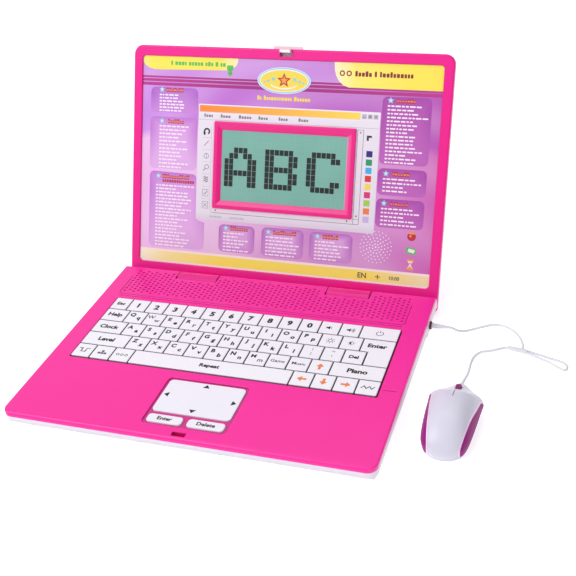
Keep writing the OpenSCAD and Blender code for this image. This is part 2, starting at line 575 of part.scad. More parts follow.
module mouse_loft(inset, z0) {
    n = 14;
    k = (mouse_l - 2 * inset) / 97;
    pts = [for (v = stations) let (w = max(m_half(v) - inset, 0.3), t = max(m_top(v) - inset, z0 + 0.6), b = z0 + min(5, 0.5 * (t - z0)))
        for (i = [-1:n + 1]) i < 0 ? [0.95 * w, v * k, z0] : i > n ? [-0.95 * w, v * k, z0] :
            let (a = 180 * i / n, c = cos(a)) [w * sign(c) * pow(abs(c), 0.82), v * k, b + (t - b) * sin(a)]];
    m = n + 3;
    s = len(stations);
    polyhedron(pts, concat([[for (i = [m - 1:-1:0]) i]], [[for (i = [0:m - 1]) (s - 1) * m + i]],
        [for (j = [0:s - 2], i = [0:m - 1]) [j * m + i, j * m + (i + 1) % m, (j + 1) * m + (i + 1) % m, (j + 1) * m + i]]));
}
function grip_side(d) = [for (p = grip_line) [p[1] + d + grip_skew, p[0] - (p[0] > 20 ? 2.5 * d : 0)]];
module white_zone(d) {
    right = grip_side(d);
    left = [for (i = [len(right) - 1:-1:0]) [2 * grip_skew - right[i][0], right[i][1]]];
    linear_extrude(60) polygon(concat(right, [[30, 21.6 - 2 * d], [30, 60], [-30, 60], [-30, 21.6 - 2 * d]], left));
}
module mouse_skin() { difference() { mouse_loft(0, 3.1); mouse_loft(1.7, 2.5); } }
module finger(s) {
    place() on_mouse() color(white) intersection() {
        mouse_skin();
        white_zone(-0.1);
        difference() {
            translate([s > 0 ? 0.35 : -40, 2.4, 9.8]) cube([39.65, 35.6, 40]);
            slab(-3.2, 20.4, 3.2, 39, 0, 60);
        }
    }
}
// One moulding: the crown behind the buttons, the skirt under them and the two ribs that join them
module mouse_top_shell() {
    place() on_mouse() color(white) {
        intersection() {
            mouse_skin();
            white_zone(-0.1);
            union() { slab(-40, -60, 40, 2, 0, 60); slab(-40, 1, 40, 60, 0, 8.6); slab(-40, 38.4, 40, 60, 0, 60); }
        }
        intersection() {
            mouse_loft(0.8, 3.1);
            for (sx = [-1, 1]) { slab(sx * 10 - 0.8, -6, sx * 10 + 0.8, 1.6, 7, 40); slab(sx * 10 - 0.8, -5, sx * 10 + 0.8, 42, 7, 8.5); }
        }
    }
}
module mouse_left_button() { finger(-1); }
module mouse_right_button() { finger(1); }
module mouse_side_grips() {
    place() on_mouse() color([0.6, 0.14, 0.47]) difference() { mouse_skin(); translate([0, 0, -1]) white_zone(0.1); }
}
base_outline = concat([for (v = stations) [0.92 * m_half(v), v * 0.985]], [for (i = [len(stations) - 1:-1:0]) [-0.92 * m_half(stations[i]), stations[i] * 0.985]]);
module mouse_base() {
    place() on_mouse() color([0.85, 0.85, 0.9]) difference() {
        union() {
            translate([0, 0, 0.8]) linear_extrude(2.2) polygon(base_outline);
            for (sx = [-1, 1]) slab(sx * 5.4 - 0.9, 27.5, sx * 5.4 + 0.9, 31.5, 2, 10.9);
            for (p = [[0, -36], [-9, 8], [9, 8]]) post(p[0], p[1], 2, 5, 2.6);
        }
        xrod(-20, 20, 29.5, 10.9, 1.2 + run);
    }
}
module mouse_wheel() {
    place() on_mouse() color([0.55, 0.12, 0.42]) difference() {
        union() { xrod(-2.5, 2.5, 29.5, 10.9, wheel_r); xrod(-5.8, 5.8, 29.5, 10.9, 1.15); }
        for (a = [0:30:330]) translate([0, 29.5, 10.9]) rotate([a, 0, 0]) slab(-3, -0.5, 3, 0.5, wheel_r - 0.5, wheel_r + 2);
    }
}
module mouse_board() {
    place() on_mouse() color([0.1, 0.42, 0.24]) { slab(-11, -38, 11, 14, 5, 6.5); slab(-5, -20, 5, -8, 6.5, 9); }
}
module mouse_feet() {
    place() on_mouse() color([0.3, 0.3, 0.32]) { rslab(-9, -40, 9, -34, 2, 0, 0.8); rslab(-6, 30, 6, 35, 2, 0, 0.8); }
}

// ---------- plug and cable ----------
cable_r = cable_d / 2;
lie = cable_r + 0.1;
nose = [mouse_x + 48.8 * sin(-mouse_yaw), mouse_y + 48.8 * cos(mouse_yaw), 5.4];
module mouse_plug() {
    place() {
        color([0.8, 0.8, 0.82]) translate([151.5, jack_y, jack_z]) rotate([0, 90, 0]) cylinder(r = plug_r, h = 14);
        color(white) translate([163.6, jack_y, jack_z]) rotate([0, 90, 0]) rotate_extrude($fn = 32)
            polygon([[0, 0], [3.6, 0], [3.9, 1], [3.9, 4], [2.6, 5], [2.4, 12], [cable_r + 0.3, 17], [0, 17]]);
    }
}
module cable_lead() {
    place() color(white) tube(smooth([[181.3, jack_y, jack_z], [186, jack_y + 1.5, 10.8], [191, jack_y + 5, 6.4], [197, 230.5, 2.6],
        [204, 237, lie], [212, 242.5, lie], [221, 247.6, lie], [231, 247.2, lie], [240, 241, lie], [247, 231.4, lie], [250.6, 222, lie], [251.6, 214.6, lie]], 3), cable_r);
}
module cable_tie() {
    place() color(white) translate([247.2, 210.6, 0]) rotate([0, 0, -8]) difference() {
        rslab(-9.4, -3.4, 9.4, 3.4, 2.4, 0.05, 4.4);
        translate([0, 0, 3.4]) slab(-10, -0.5, 10, 0.5, 0.4, 3);
    }
}
module cable_bundle() {
    place() color(white) {
        tube(smooth([[257.5, 210.6, lie], [262, 209, lie], [268.6, 206.8, lie], [277, 203.8, lie], [287, 200.4, lie], [292, 196.4, lie],
            [293.1, 191.4, lie], [291.2, 188.2, lie], [286.6, 190.4, lie], [278, 196.8, lie], [269, 201.4, lie], [262, 204.6, lie],
            [257.2, 206.9, lie]], 2), cable_r);
    }
}
module cable_tail() {
    place() color(white) {
        tube(smooth([[237.2, 211.9, lie], [233.4, 210.6, lie], [228, 207, lie], [222, 203.6, lie], [215.5, 200.6, lie], [210.6, 192, lie],
            [209.2, 180, lie], [209.4, 166, 2.6], [nose[0] + 0.45, nose[1] + 8.5, 4.9], [nose[0] + 0.02, nose[1] + 0.4, 5.4]], 3), cable_r);
    }
}

base_top_shell();
base_bottom_shell();
battery_door();
battery_door_screw();
batteries();
battery_contacts();
rubber_feet();
case_screws();
hinge_pins();
main_board();
keypad_mat();
speaker();
mouse_jack();
lid_front_bezel();
lid_back_cover();
activity_panel();
lcd_frame();
lcd_glass();
lcd_board();
lid_screws();
latch();
latch_spring();
touchpad();
pad_enter_button();
pad_delete_button();
key_esc();
number_keys();
volume_keys();
key_power();
key_help();
top_letter_keys();
key_brightness();
key_contrast();
key_enter();
key_clock();
home_letter_keys();
key_delete();
key_level();
bottom_letter_keys();
mode_keys();
key_arrow_up();
key_piano();
game_keys();
key_repeat();
key_arrow_left();
key_arrow_down();
key_arrow_right();
mouse_plug();
cable_lead();
cable_tie();
cable_bundle();
cable_tail();
mouse_base();
mouse_top_shell();
mouse_left_button();
mouse_right_button();
mouse_wheel();
mouse_side_grips();
mouse_board();
mouse_feet();
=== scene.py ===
import math

import bmesh
import bpy
from mathutils import Matrix, Vector


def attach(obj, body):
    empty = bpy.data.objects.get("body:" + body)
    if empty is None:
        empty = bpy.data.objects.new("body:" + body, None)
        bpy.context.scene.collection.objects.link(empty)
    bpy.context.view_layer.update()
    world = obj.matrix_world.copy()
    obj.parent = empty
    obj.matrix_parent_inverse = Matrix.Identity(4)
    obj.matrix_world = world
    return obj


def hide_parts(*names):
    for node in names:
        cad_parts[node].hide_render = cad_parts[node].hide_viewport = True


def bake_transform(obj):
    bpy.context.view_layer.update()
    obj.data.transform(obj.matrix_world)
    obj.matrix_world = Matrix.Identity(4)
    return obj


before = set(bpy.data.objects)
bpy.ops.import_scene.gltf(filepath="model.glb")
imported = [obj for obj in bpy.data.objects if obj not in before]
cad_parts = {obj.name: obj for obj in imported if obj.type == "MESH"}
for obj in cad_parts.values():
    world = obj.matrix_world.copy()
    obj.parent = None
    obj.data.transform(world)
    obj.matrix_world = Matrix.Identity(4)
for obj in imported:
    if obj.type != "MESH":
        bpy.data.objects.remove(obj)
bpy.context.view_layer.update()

# ------------------------------------------------------------------ numbers shared with the CAD (millimetres)
OX, OY = 64.8, 177.2
DECK, SEAM = 24.0, 19.4
AXIS_Y, AXIS_Z = 244.3, 13.05
TILT = math.radians(180 - 111.7)
S0, FACE = -16.75, 12.45
KP, RP = 19.6, 20.16
FX0, FW, FY = -144.65, 289.3, 87.8
TOP = DECK + 0.9
PCX, PW, PD, PY = -1.2, 71.2, 43.6, 30.9
PX0, PX1 = PCX - PW / 2, PCX + PW / 2
BTN_Y, BTN_D = 16.35, 10.4
LCD_X0, LCD_X1, LCD_S0, LCD_S1 = -65.7, 65.5, 71.3, 142.7
RIM = 8.6
PANEL_Z = -1.5

ROW = Matrix.Scale(0.001, 4) @ Matrix.Translation((-OX, -OY, 0))
LID = ROW @ Matrix.Translation((0, AXIS_Y, AXIS_Z)) @ Matrix.Rotation(TILT, 4, "X") @ Matrix.Translation((0, -S0, -FACE))
MOUSE = ROW @ Matrix.Translation((206.6, 95.3, 0)) @ Matrix.Rotation(math.radians(-0.8), 4, "Z")


# ------------------------------------------------------------------ outlines
def arc(cx, cy, r, a0, a1, n):
    return [(cx + r * math.cos(math.radians(a0 + (a1 - a0) * i / n)), cy + r * math.sin(math.radians(a0 + (a1 - a0) * i / n))) for i in range(n + 1)]


def rrect(x0, y0, x1, y1, r, n=6):
    r = max(0.02, min(r, (x1 - x0) / 2 - 0.005, (y1 - y0) / 2 - 0.005))
    return (arc(x1 - r, y1 - r, r, 0, 90, n) + arc(x0 + r, y1 - r, r, 90, 180, n)
            + arc(x0 + r, y0 + r, r, 180, 270, n) + arc(x1 - r, y0 + r, r, 270, 360, n))


def rect4(x0, y0, x1, y1, r4, n=6):
    """Rounded rectangle with its own radius at top-right, top-left, bottom-left, bottom-right."""
    a, b, c, d = r4
    return (arc(x1 - a, y1 - a, a, 0, 90, n) + arc(x0 + b, y1 - b, b, 90, 180, n)
            + arc(x0 + c, y0 + c, c, 180, 270, n) + arc(x1 - d, y0 + d, d, 270, 360, n))


def circle(cx, cy, r, n=20, ry=None):
    ry = r if ry is None else ry
    return [(cx + r * math.cos(2 * math.pi * i / n), cy + ry * math.sin(2 * math.pi * i / n)) for i in range(n)]


def star(cx, cy, r, k=0.46, n=5, turn=90):
    return [(cx + (r if i % 2 == 0 else r * k) * math.cos(math.radians(turn + 180 * i / n)),
             cy + (r if i % 2 == 0 else r * k) * math.sin(math.radians(turn + 180 * i / n))) for i in range(2 * n)]


# ------------------------------------------------------------------ closed shapes
class Shape:
    """Closed shells in local millimetres."""

    def __init__(self):
        self.v, self.f = [], []

    def loft(self, rings, loop=False):
        """rings: equal lists of (x, y, z), wound anticlockwise seen from the last ring's side."""
        b, n = len(self.v), len(rings[0])
        for r in rings:
            self.v.extend(r)
        m = len(rings)
        for j in range(m if loop else m - 1):
            k = (j + 1) % m
            for i in range(n):
                q = (i + 1) % n
                self.f.append((b + j * n + i, b + j * n + q, b + k * n + q, b + k * n + i))
        if not loop:
            self.f.append(tuple(b + i for i in range(n - 1, -1, -1)))
            self.f.append(tuple(b + (m - 1) * n + i for i in range(n)))
        return self

    def prism(self, pts, z0, z1):
        area = sum(pts[i][0] * pts[(i + 1) % len(pts)][1] - pts[(i + 1) % len(pts)][0] * pts[i][1] for i in range(len(pts)))
        if area < 0:
            pts = pts[::-1]
        return self.loft([[(x, y, z0) for x, y in pts], [(x, y, z1) for x, y in pts]])

    def box(self, x0, y0, x1, y1, z0, z1):
        return self.prism([(x0, y0), (x1, y0), (x1, y1), (x0, y1)], z0, z1)

    def pad(self, x0, y0, x1, y1, r, z0, z1, edge, n=6, m=3, low=0.0):
        """A rounded block: its top edge is rounded by edge, its lower edge by low."""
        rings = []
        if low:
            for i in range(m):
                a = math.pi / 2 * i / m
                d = low * (1 - math.sin(a))
                rings.append([(x, y, z0 + low * (1 - math.cos(a))) for x, y in rrect(x0 + d, y0 + d, x1 - d, y1 - d, r - d, n)])
        rings.append([(x, y, z0 + low) for x, y in rrect(x0, y0, x1, y1, r, n)])
        for i in range(m + 1):
            a = math.pi / 2 * i / m
            d = edge * (1 - math.cos(a))
            rings.append([(x, y, z1 - edge + edge * math.sin(a)) for x, y in rrect(x0 + d, y0 + d, x1 - d, y1 - d, max(r - d, 0.05), n)])
        return self.loft(rings)

    def ringband(self, cx, cy, r0, r1, z0, z1, a0=0, a1=360, n=24):
        if a1 - a0 >= 360:
            rings = []
            for i in range(n):
                a = 2 * math.pi * i / n
                c, s = math.cos(a), math.sin(a)
                rings.append([(cx + r0 * c, cy + r0 * s, z0), (cx + r1 * c, cy + r1 * s, z0), (cx + r1 * c, cy + r1 * s, z1), (cx + r0 * c, cy + r0 * s, z1)][::-1])
            return self.loft(rings[::-1], loop=True)
        out = arc(cx, cy, r1, a0, a1, n) + arc(cx, cy, r0, a1, a0, n)
        return self.prism(out, z0, z1)

    def stroke(self, pts, w, z0, z1):
        """A bent line of width w with mitred joins."""
        left, right = [], []
        for i, (x, y) in enumerate(pts):
            ax, ay = pts[max(i - 1, 0)]
            bx, by = pts[min(i + 1, len(pts) - 1)]
            d = Vector((bx - ax, by - ay)).normalized()
            k = 1.0
            if 0 < i < len(pts) - 1:
                e = Vector((x - ax, y - ay)).normalized()
                k = 1 / max(0.5, abs(d.dot(e)))
            left.append((x - d.y * w / 2 * k, y + d.x * w / 2 * k))
            right.append((x + d.y * w / 2 * k, y - d.x * w / 2 * k))
        return self.prism(left + right[::-1], z0, z1)

    def lathe_x(self, x_r, y, z, n=32):
        """A turned shell along X from (x, r) pairs."""
        return self.loft([[(x, y + r * math.cos(2 * math.pi * i / n), z + r * math.sin(2 * math.pi * i / n)) for i in range(n)] for x, r in x_r])


def new_object(name, shape, xf):
    me = bpy.data.meshes.new(name)
    me.from_pydata([xf @ Vector(p) for p in shape.v], [], shape.f)
    me.validate()
    ob = bpy.data.objects.new(name, me)
    bpy.context.scene.collection.objects.link(ob)
    return ob


def tidy(ob, weld=1e-7):
    bm = bmesh.new()
    bm.from_mesh(ob.data)
    bmesh.ops.remove_doubles(bm, verts=bm.verts, dist=weld)
    bmesh.ops.recalc_face_normals(bm, faces=bm.faces)
    bm.to_mesh(ob.data)
    bm.free()
    return ob


def cad_copy(node, name):
    """A separate copy of a CAD node's mesh, welded, to be worked on."""
    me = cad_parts[node].data.copy()
    me.name = name
    me.materials.clear()
    ob = bpy.data.objects.new(name, me)
    bpy.context.scene.collection.objects.link(ob)
    bm = bmesh.new()
    bm.from_mesh(me)
    bmesh.ops.remove_doubles(bm, verts=bm.verts, dist=2e-6)
    bmesh.ops.dissolve_degenerate(bm, edges=bm.edges, dist=1e-7)
    bm.to_mesh(me)
    bm.free()
    return ob


def cut(ob, *steps):
    """steps: (operation, Shape, matrix) applied in order with exact mesh booleans."""
    for k, (op, shape, xf) in enumerate(steps):
        tool = new_object(f"tool{k}", shape, xf) if isinstance(shape, Shape) else shape
        mod = ob.modifiers.new("b", "BOOLEAN")
        mod.operation, mod.solver, mod.object = op, "MANIFOLD", tool
        dg = bpy.context.evaluated_depsgraph_get()
        me = bpy.data.meshes.new_from_object(ob.evaluated_get(dg))
        if len(me.polygons) == 0:
            mod.solver = "EXACT"
            dg = bpy.context.evaluated_depsgraph_get()
            me = bpy.data.meshes.new_from_object(ob.evaluated_get(dg))
        ob.modifiers.clear()
        old = ob.data
        ob.data = me
        bpy.data.meshes.remove(old)
        bpy.data.objects.remove(tool)
    bm = bmesh.new()
    bm.from_mesh(ob.data)
    bmesh.ops.remove_doubles(bm, verts=bm.verts, dist=1.5e-6)
    bmesh.ops.dissolve_degenerate(bm, edges=bm.edges, dist=1.5e-6)
    bm.to_mesh(ob.data)
    bm.free()
    return ob


def finish_piece(ob, mat, body, nodes=(), angle=32, weighted=True):
    ob.data.materials.clear()
    ob.data.materials.append(mat)
    ob.data.shade_smooth()
    ob.data.set_sharp_from_angle(angle=math.radians(angle))
    if weighted:
        w = ob.modifiers.new("weighted", "WEIGHTED_NORMAL")
        w.keep_sharp, w.weight = True, 80
    if nodes:
        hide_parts(*nodes)
    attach(ob, body)
    return ob


def piece(name, shape, xf, mat, body, nodes=(), angle=32, weighted=True):
    ob = tidy(new_object(name, shape, xf), 1e-8)
    return finish_piece(ob, mat, body, nodes, angle, weighted)


# ------------------------------------------------------------------ materials
def lin(c):
    out = []
    for v in c[:3]:
        v = v / 255
        out.append(v / 12.92 if v <= 0.04045 else ((v + 0.055) / 1.055) ** 2.4)
    return (out[0], out[1], out[2], 1)


def base_mat(name):
    m = bpy.data.materials.new(name)
    m.use_nodes = True
    nt = m.node_tree
    nt.nodes.clear()
    out = nt.nodes.new("ShaderNodeOutputMaterial")
    p = nt.nodes.new("ShaderNodeBsdfPrincipled")
    nt.links.new(p.outputs[0], out.inputs[0])
    return m, nt, p


def noise(nt, scale, detail=3.0, rough=0.5, coord=None):
    n = nt.nodes.new("ShaderNodeTexNoise")
    n.inputs["Scale"].default_value = scale
    n.inputs["Detail"].default_value = detail
    n.inputs["Roughness"].default_value = rough
    if coord is None:
        coord = nt.nodes.new("ShaderNodeTexCoord").outputs["Object"]
    nt.links.new(coord, n.inputs["Vector"])
    return n


def mixrgb(nt, fac, a, b, blend="MIX"):
    n = nt.nodes.new("ShaderNodeMix")
    n.data_type, n.blend_type = "RGBA", blend
    for key, val in ((0, fac), (6, a), (7, b)):
        if isinstance(val, bpy.types.NodeSocket):
            nt.links.new(val, n.inputs[key])
        else:
            n.inputs[key].default_value = val
    return n.outputs[2]


def mathn(nt, op, a, b=0.0, c=None, clamp=False):
    n = nt.nodes.new("ShaderNodeMath")
    n.operation, n.use_clamp = op, clamp
    for i, val in enumerate((a, b) if c is None else (a, b, c)):
        if isinstance(val, bpy.types.NodeSocket):
            nt.links.new(val, n.inputs[i])
        else:
            n.inputs[i].default_value = val
    return n.outputs[0]


def ramp(nt, fac, stops, interp="LINEAR"):
    n = nt.nodes.new("ShaderNodeValToRGB")
    n.color_ramp.interpolation = interp
    e = n.color_ramp.elements
    while len(e) > 1:
        e.remove(e[-1])
    e[0].position, e[0].color = stops[0]
    for pos, col in stops[1:]:
        k = e.new(pos)
        k.color = col
    nt.links.new(fac, n.inputs[0])
    return n.outputs[0]


def finish_surface(nt, p, color, rough, spread, grain, grain_scale, metal=0.0, coat=0.0, coat_rough=0.1, spec=0.5, sss=0.0):
    """Colour drift, roughness drift, a fine moulded grain and slow waviness on top of a colour socket or value."""
    coord = nt.nodes.new("ShaderNodeTexCoord").outputs["Object"]
    slow = noise(nt, 18, 3, 0.55, coord)
    fine = noise(nt, grain_scale, 4, 0.6, coord)
    dark = mixrgb(nt, 1.0, color, (0.965, 0.955, 0.965, 1), "MULTIPLY")
    col = mixrgb(nt, slow.outputs[0], color, dark)
    nt.links.new(col, p.inputs["Base Color"])
    r = mathn(nt, "MULTIPLY_ADD", slow.outputs[0], spread, rough - spread / 2)
    r = mathn(nt, "MULTIPLY_ADD", fine.outputs[0], spread * 0.6, r)
    nt.links.new(r, p.inputs["Roughness"])
    b = nt.nodes.new("ShaderNodeBump")
    b.inputs["Strength"].default_value = 1.0
    b.inputs["Distance"].default_value = grain
    nt.links.new(fine.outputs[0], b.inputs["Height"])
    b2 = nt.nodes.new("ShaderNodeBump")
    b2.inputs["Strength"].default_value = 1.0
    b2.inputs["Distance"].default_value = grain * 2.0
    nt.links.new(slow.outputs[0], b2.inputs["Height"])
    nt.links.new(b.outputs[0], b2.inputs["Normal"])
    nt.links.new(b2.outputs[0], p.inputs["Normal"])
    p.inputs["Metallic"].default_value = metal
    p.inputs["Coat Weight"].default_value = coat
    p.inputs["Coat Roughness"].default_value = coat_rough
    p.inputs["Specular IOR Level"].default_value = spec
    if sss:
        p.inputs["Subsurface Weight"].default_value = sss
        p.inputs["Subsurface Scale"].default_value = 0.002
        p.inputs["Subsurface Radius"].default_value = (1.0, 0.6, 0.7)


def plastic(name, rgb, rough=0.32, spread=0.08, grain=0.000012, grain_scale=1400, crevice_shade=None, well_shade=None, **kw):
    m, nt, p = base_mat(name)
    c = nt.nodes.new("ShaderNodeRGB")
    c.outputs[0].default_value = lin(rgb)
    col = c.outputs[0]
    if crevice_shade:
        # painted shade: in crevices, gaps and recesses, found by ambient occlusion, the base colour is mixed towards a
        # darker colour
        ao = nt.nodes.new("ShaderNodeAmbientOcclusion")
        ao.samples = 6
        ao.inputs["Distance"].default_value = crevice_shade[1]
        f = mathn(nt, "MULTIPLY_ADD", ao.outputs["AO"], 1.5, -0.5, clamp=True)
        col = mixrgb(nt, f, lin(crevice_shade[0]), col)
    if well_shade:
        # painted shade: the floors of the wells in the deck, below the deck top and inside the base's outline, are
        # mixed towards a darker pink
        sep = nt.nodes.new("ShaderNodeSeparateXYZ")
        nt.links.new(nt.nodes.new("ShaderNodeNewGeometry").outputs["Position"], sep.inputs[0])
        low = mathn(nt, "LESS_THAN", sep.outputs[2], (DECK - 0.25) / 1000)
        ins = mathn(nt, "LESS_THAN", mathn(nt, "ABSOLUTE", mathn(nt, "ADD", sep.outputs[0], OX / 1000)), 0.162)
        back = mathn(nt, "GREATER_THAN", sep.outputs[1], (3.0 - OY) / 1000)
        f = mathn(nt, "MULTIPLY", mathn(nt, "MULTIPLY", low, ins), back)
        col = mixrgb(nt, mathn(nt, "MULTIPLY", f, 0.85), col, lin(well_shade))
    finish_surface(nt, p, col, rough, spread, grain, grain_scale, **kw)
    return m


def metal(name, rgb, rough=0.3, stretch=40):
    m, nt, p = base_mat(name)
    coord = nt.nodes.new("ShaderNodeTexCoord").outputs["Object"]
    mp = nt.nodes.new("ShaderNodeMapping")
    mp.inputs["Scale"].default_value = (1, stretch, stretch)
    nt.links.new(coord, mp.inputs[0])
    n = noise(nt, 60, 4, 0.6, mp.outputs[0])
    nt.links.new(ramp(nt, n.outputs[0], [(0.3, lin([c * 0.8 for c in rgb])), (0.7, lin(rgb))]), p.inputs["Base Color"])
    nt.links.new(mathn(nt, "MULTIPLY_ADD", n.outputs[0], 0.2, rough - 0.1), p.inputs["Roughness"])
    b = nt.nodes.new("ShaderNodeBump")
    b.inputs["Distance"].default_value = 0.00001
    nt.links.new(n.outputs[0], b.inputs["Height"])
    nt.links.new(b.outputs[0], p.inputs["Normal"])
    p.inputs["Metallic"].default_value = 1.0
    return m


def lid_coords(nt):
    """(x, s) on the lid, in millimetres from the left edge and from the deck line, from the rest position."""
    coord = nt.nodes.new("ShaderNodeTexCoord").outputs["Object"]
    sep = nt.nodes.new("ShaderNodeSeparateXYZ")
    nt.links.new(coord, sep.inputs[0])
    x = mathn(nt, "MULTIPLY_ADD", sep.outputs[0], 1000.0, OX + 165)
    y = mathn(nt, "MULTIPLY_ADD", sep.outputs[1], 1000.0 * math.cos(TILT), (OY - AXIS_Y) * math.cos(TILT) - AXIS_Z * math.sin(TILT) + S0)
    s = mathn(nt, "MULTIPLY_ADD", sep.outputs[2], 1000.0 * math.sin(TILT), y)
    return x, s


def panel_material():
    m, nt, p = base_mat("printed_panel")
    x, s = lid_coords(nt)
    u = mathn(nt, "MULTIPLY_ADD", x, 1 / 320, -0.01, clamp=True)
    v = mathn(nt, "MULTIPLY", s, 1 / 214, clamp=True)
    upper = ramp(nt, u, [(0.0, lin((204, 142, 234))), (0.35, lin((194, 112, 214))), (0.7, lin((188, 96, 200))), (1.0, lin((186, 84, 186)))], "EASE")
    top = ramp(nt, u, [(0.0, lin((204, 142, 226))), (0.6, lin((202, 140, 222))), (1.0, lin((196, 124, 206)))])
    lower = ramp(nt, u, [(0.0, lin((240, 190, 240))), (0.28, lin((236, 200, 236))), (0.45, lin((222, 166, 219))), (0.62, lin((208, 138, 208))), (0.8, lin((214, 146, 212))), (1.0, lin((206, 94, 184)))])
    # the lighter lower field rises towards the middle of the panel
    dome = mathn(nt, "SINE", mathn(nt, "MULTIPLY", u, math.pi))
    edge = mathn(nt, "MULTIPLY_ADD", dome, 26.0, 131.0)
    soft = mathn(nt, "MULTIPLY_ADD", mathn(nt, "SUBTRACT", edge, s), 1 / 9, 0.5, clamp=True)
    mid = mixrgb(nt, soft, upper, lower)
    band = mathn(nt, "MULTIPLY_ADD", mathn(nt, "SUBTRACT", s, 189.0), 1.0, 0.5, clamp=True)
    col = mixrgb(nt, band, mid, top)
    # pale swirls in the print
    w = nt.nodes.new("ShaderNodeTexWave")
    w.wave_type, w.rings_direction = "RINGS", "SPHERICAL"
    w.inputs["Scale"].default_value = 7.0
    w.inputs["Distortion"].default_value = 3.0
    w.inputs["Detail"].default_value = 1.0
    nt.links.new(nt.nodes.new("ShaderNodeTexCoord").outputs["Object"], w.inputs["Vector"])
    glow = mathn(nt, "MULTIPLY", w.outputs["Fac"], 0.14)
    col = mixrgb(nt, glow, col, lin((252, 226, 250)))
    # halftone of the print, and the gloss of the sheet
    finish_surface(nt, p, col, 0.34, 0.06, 0.000004, 2200, coat=0.35, coat_rough=0.22)
    return m


def box_material(name, edge_rgb, core_rgb, low_rgb):
    """A printed rounded box: darker rim, paler middle, fading downwards."""
    m, nt, p = base_mat(name)
    gen = nt.nodes.new("ShaderNodeTexCoord").outputs["Generated"]
    sep = nt.nodes.new("ShaderNodeSeparateXYZ")
    nt.links.new(gen, sep.inputs[0])
    u, v = sep.outputs[0], sep.outputs[2]
    du = mathn(nt, "MINIMUM", u, mathn(nt, "SUBTRACT", 1.0, u))
    dv = mathn(nt, "MINIMUM", v, mathn(nt, "SUBTRACT", 1.0, v))
    d = mathn(nt, "MULTIPLY", mathn(nt, "MINIMUM", du, dv), 4.2, clamp=True)
    base = mixrgb(nt, d, lin(edge_rgb), lin(core_rgb))
    col = mixrgb(nt, mathn(nt, "MULTIPLY", mathn(nt, "SUBTRACT", 0.75, v, clamp=True), 0.9, clamp=True), base, lin(low_rgb))
    finish_surface(nt, p, col, 0.34, 0.06, 0.000004, 2200, coat=0.35, coat_rough=0.22)
    return m


def gradient_material(name, stops, axis="x", lo=0.0, hi=320.0, rough=0.34):
    m, nt, p = base_mat(name)
    x, s = lid_coords(nt)
    t = x if axis == "x" else s
    f = mathn(nt, "MULTIPLY_ADD", t, 1 / (hi - lo), -lo / (hi - lo), clamp=True)
    col = ramp(nt, f, [(q, lin(c)) for q, c in stops])
    finish_surface(nt, p, col, rough, 0.06, 0.000004, 2200, coat=0.35, coat_rough=0.22)
    return m


def ink(name, rgb, rough=0.4):
    return plastic(name, rgb, rough=rough, spread=0.05, grain=0.000003, grain_scale=3000, coat=0.2, coat_rough=0.25)


def lcd_material():
    """Grey-green liquid crystal with the faint grid of its cells and a faint painted glow."""
    m, nt, p = base_mat("lcd")
    x, s = lid_coords(nt)
    gx = mathn(nt, "FRACT", mathn(nt, "MULTIPLY_ADD", x, 1 / 4.97, -0.604))
    gy = mathn(nt, "FRACT", mathn(nt, "MULTIPLY_ADD", s, 1 / 5.714, -0.05))
    lx = mathn(nt, "LESS_THAN", gx, 0.09)
    ly = mathn(nt, "LESS_THAN", gy, 0.09)
    line = mathn(nt, "MAXIMUM", lx, ly)
    n = noise(nt, 30, 2)
    base = ramp(nt, n.outputs[0], [(0.3, lin((112, 172, 158))), (0.7, lin((120, 178, 164)))])
    col = mixrgb(nt, mathn(nt, "MULTIPLY", line, 0.12), base, lin((150, 200, 188)))
    finish_surface(nt, p, col, 0.3, 0.04, 0.000002, 2600, coat=0.5, coat_rough=0.12)
    # painted glow: the screen's colour is also given as a faint emission, though the screen has no light of its own
    nt.links.new(col, p.inputs["Emission Color"])
    p.inputs["Emission Strength"].default_value = 0.08
    return m


# the pink, lid pink and key white plastics carry painted shade in their crevices
PINK = plastic("pink_plastic", (253, 30, 160), crevice_shade=((150, 12, 84), 0.004), well_shade=(206, 40, 136), rough=0.3, spread=0.08, grain=0.000010, grain_scale=1500, coat=0.1, coat_rough=0.2, spec=0.4)
LIDPINK = plastic("pink_lid", (243, 12, 144), crevice_shade=((168, 6, 92), 0.003), rough=0.3, spread=0.08, grain=0.000010, grain_scale=1500, coat=0.1, coat_rough=0.2, spec=0.4)
WHITE = plastic("white_plastic", (226, 220, 232), rough=0.36, spread=0.08, grain=0.000010, grain_scale=1500, coat=0.15, sss=0.1)
KEY = plastic("key_white", (248, 246, 254), crevice_shade=((96, 66, 96), 0.0022), rough=0.42, spread=0.08, grain=0.000016, grain_scale=1900, sss=0.12)
PADM = plastic("pad_white", (244, 242, 253), rough=0.4, spread=0.08, grain=0.000012, grain_scale=1900, sss=0.12)
LATCH = plastic("latch_white", (250, 240, 248), rough=0.3)
INKBLACK = ink("legend_black", (12, 11, 15), 0.7)
INKGREY = ink("legend_grey", (74, 72, 82))
ORANGE = ink("legend_orange", (242, 130, 62))
MWHITE = plastic("mouse_white", (220, 218, 234), rough=0.34, spread=0.08, grain=0.000010, grain_scale=1500, coat=0.25, coat_rough=0.25, sss=0.12)
GRIP = plastic("grip_magenta", (152, 26, 124), rough=0.5, spread=0.1, grain=0.000012, grain_scale=1600, spec=0.25)
GRIPEDGE = plastic("grip_edge", (250, 222, 250), rough=0.4)
WHEEL = plastic("wheel_magenta", (140, 36, 112), rough=0.55, grain=0.00003, grain_scale=900)
CABLE = plastic("cable_white", (228, 227, 234), rough=0.45, spread=0.1, grain=0.000014, grain_scale=1200)
RUBBER = plastic("foot_rubber", (74, 74, 80), rough=0.75, grain=0.00004, grain_scale=1300)
BOARD = plastic("circuit_board", (30, 112, 66), rough=0.45, grain=0.00002, grain_scale=700, coat=0.3)
SILICONE = plastic("dome_silicone", (208, 208, 214), rough=0.6, sss=0.2)
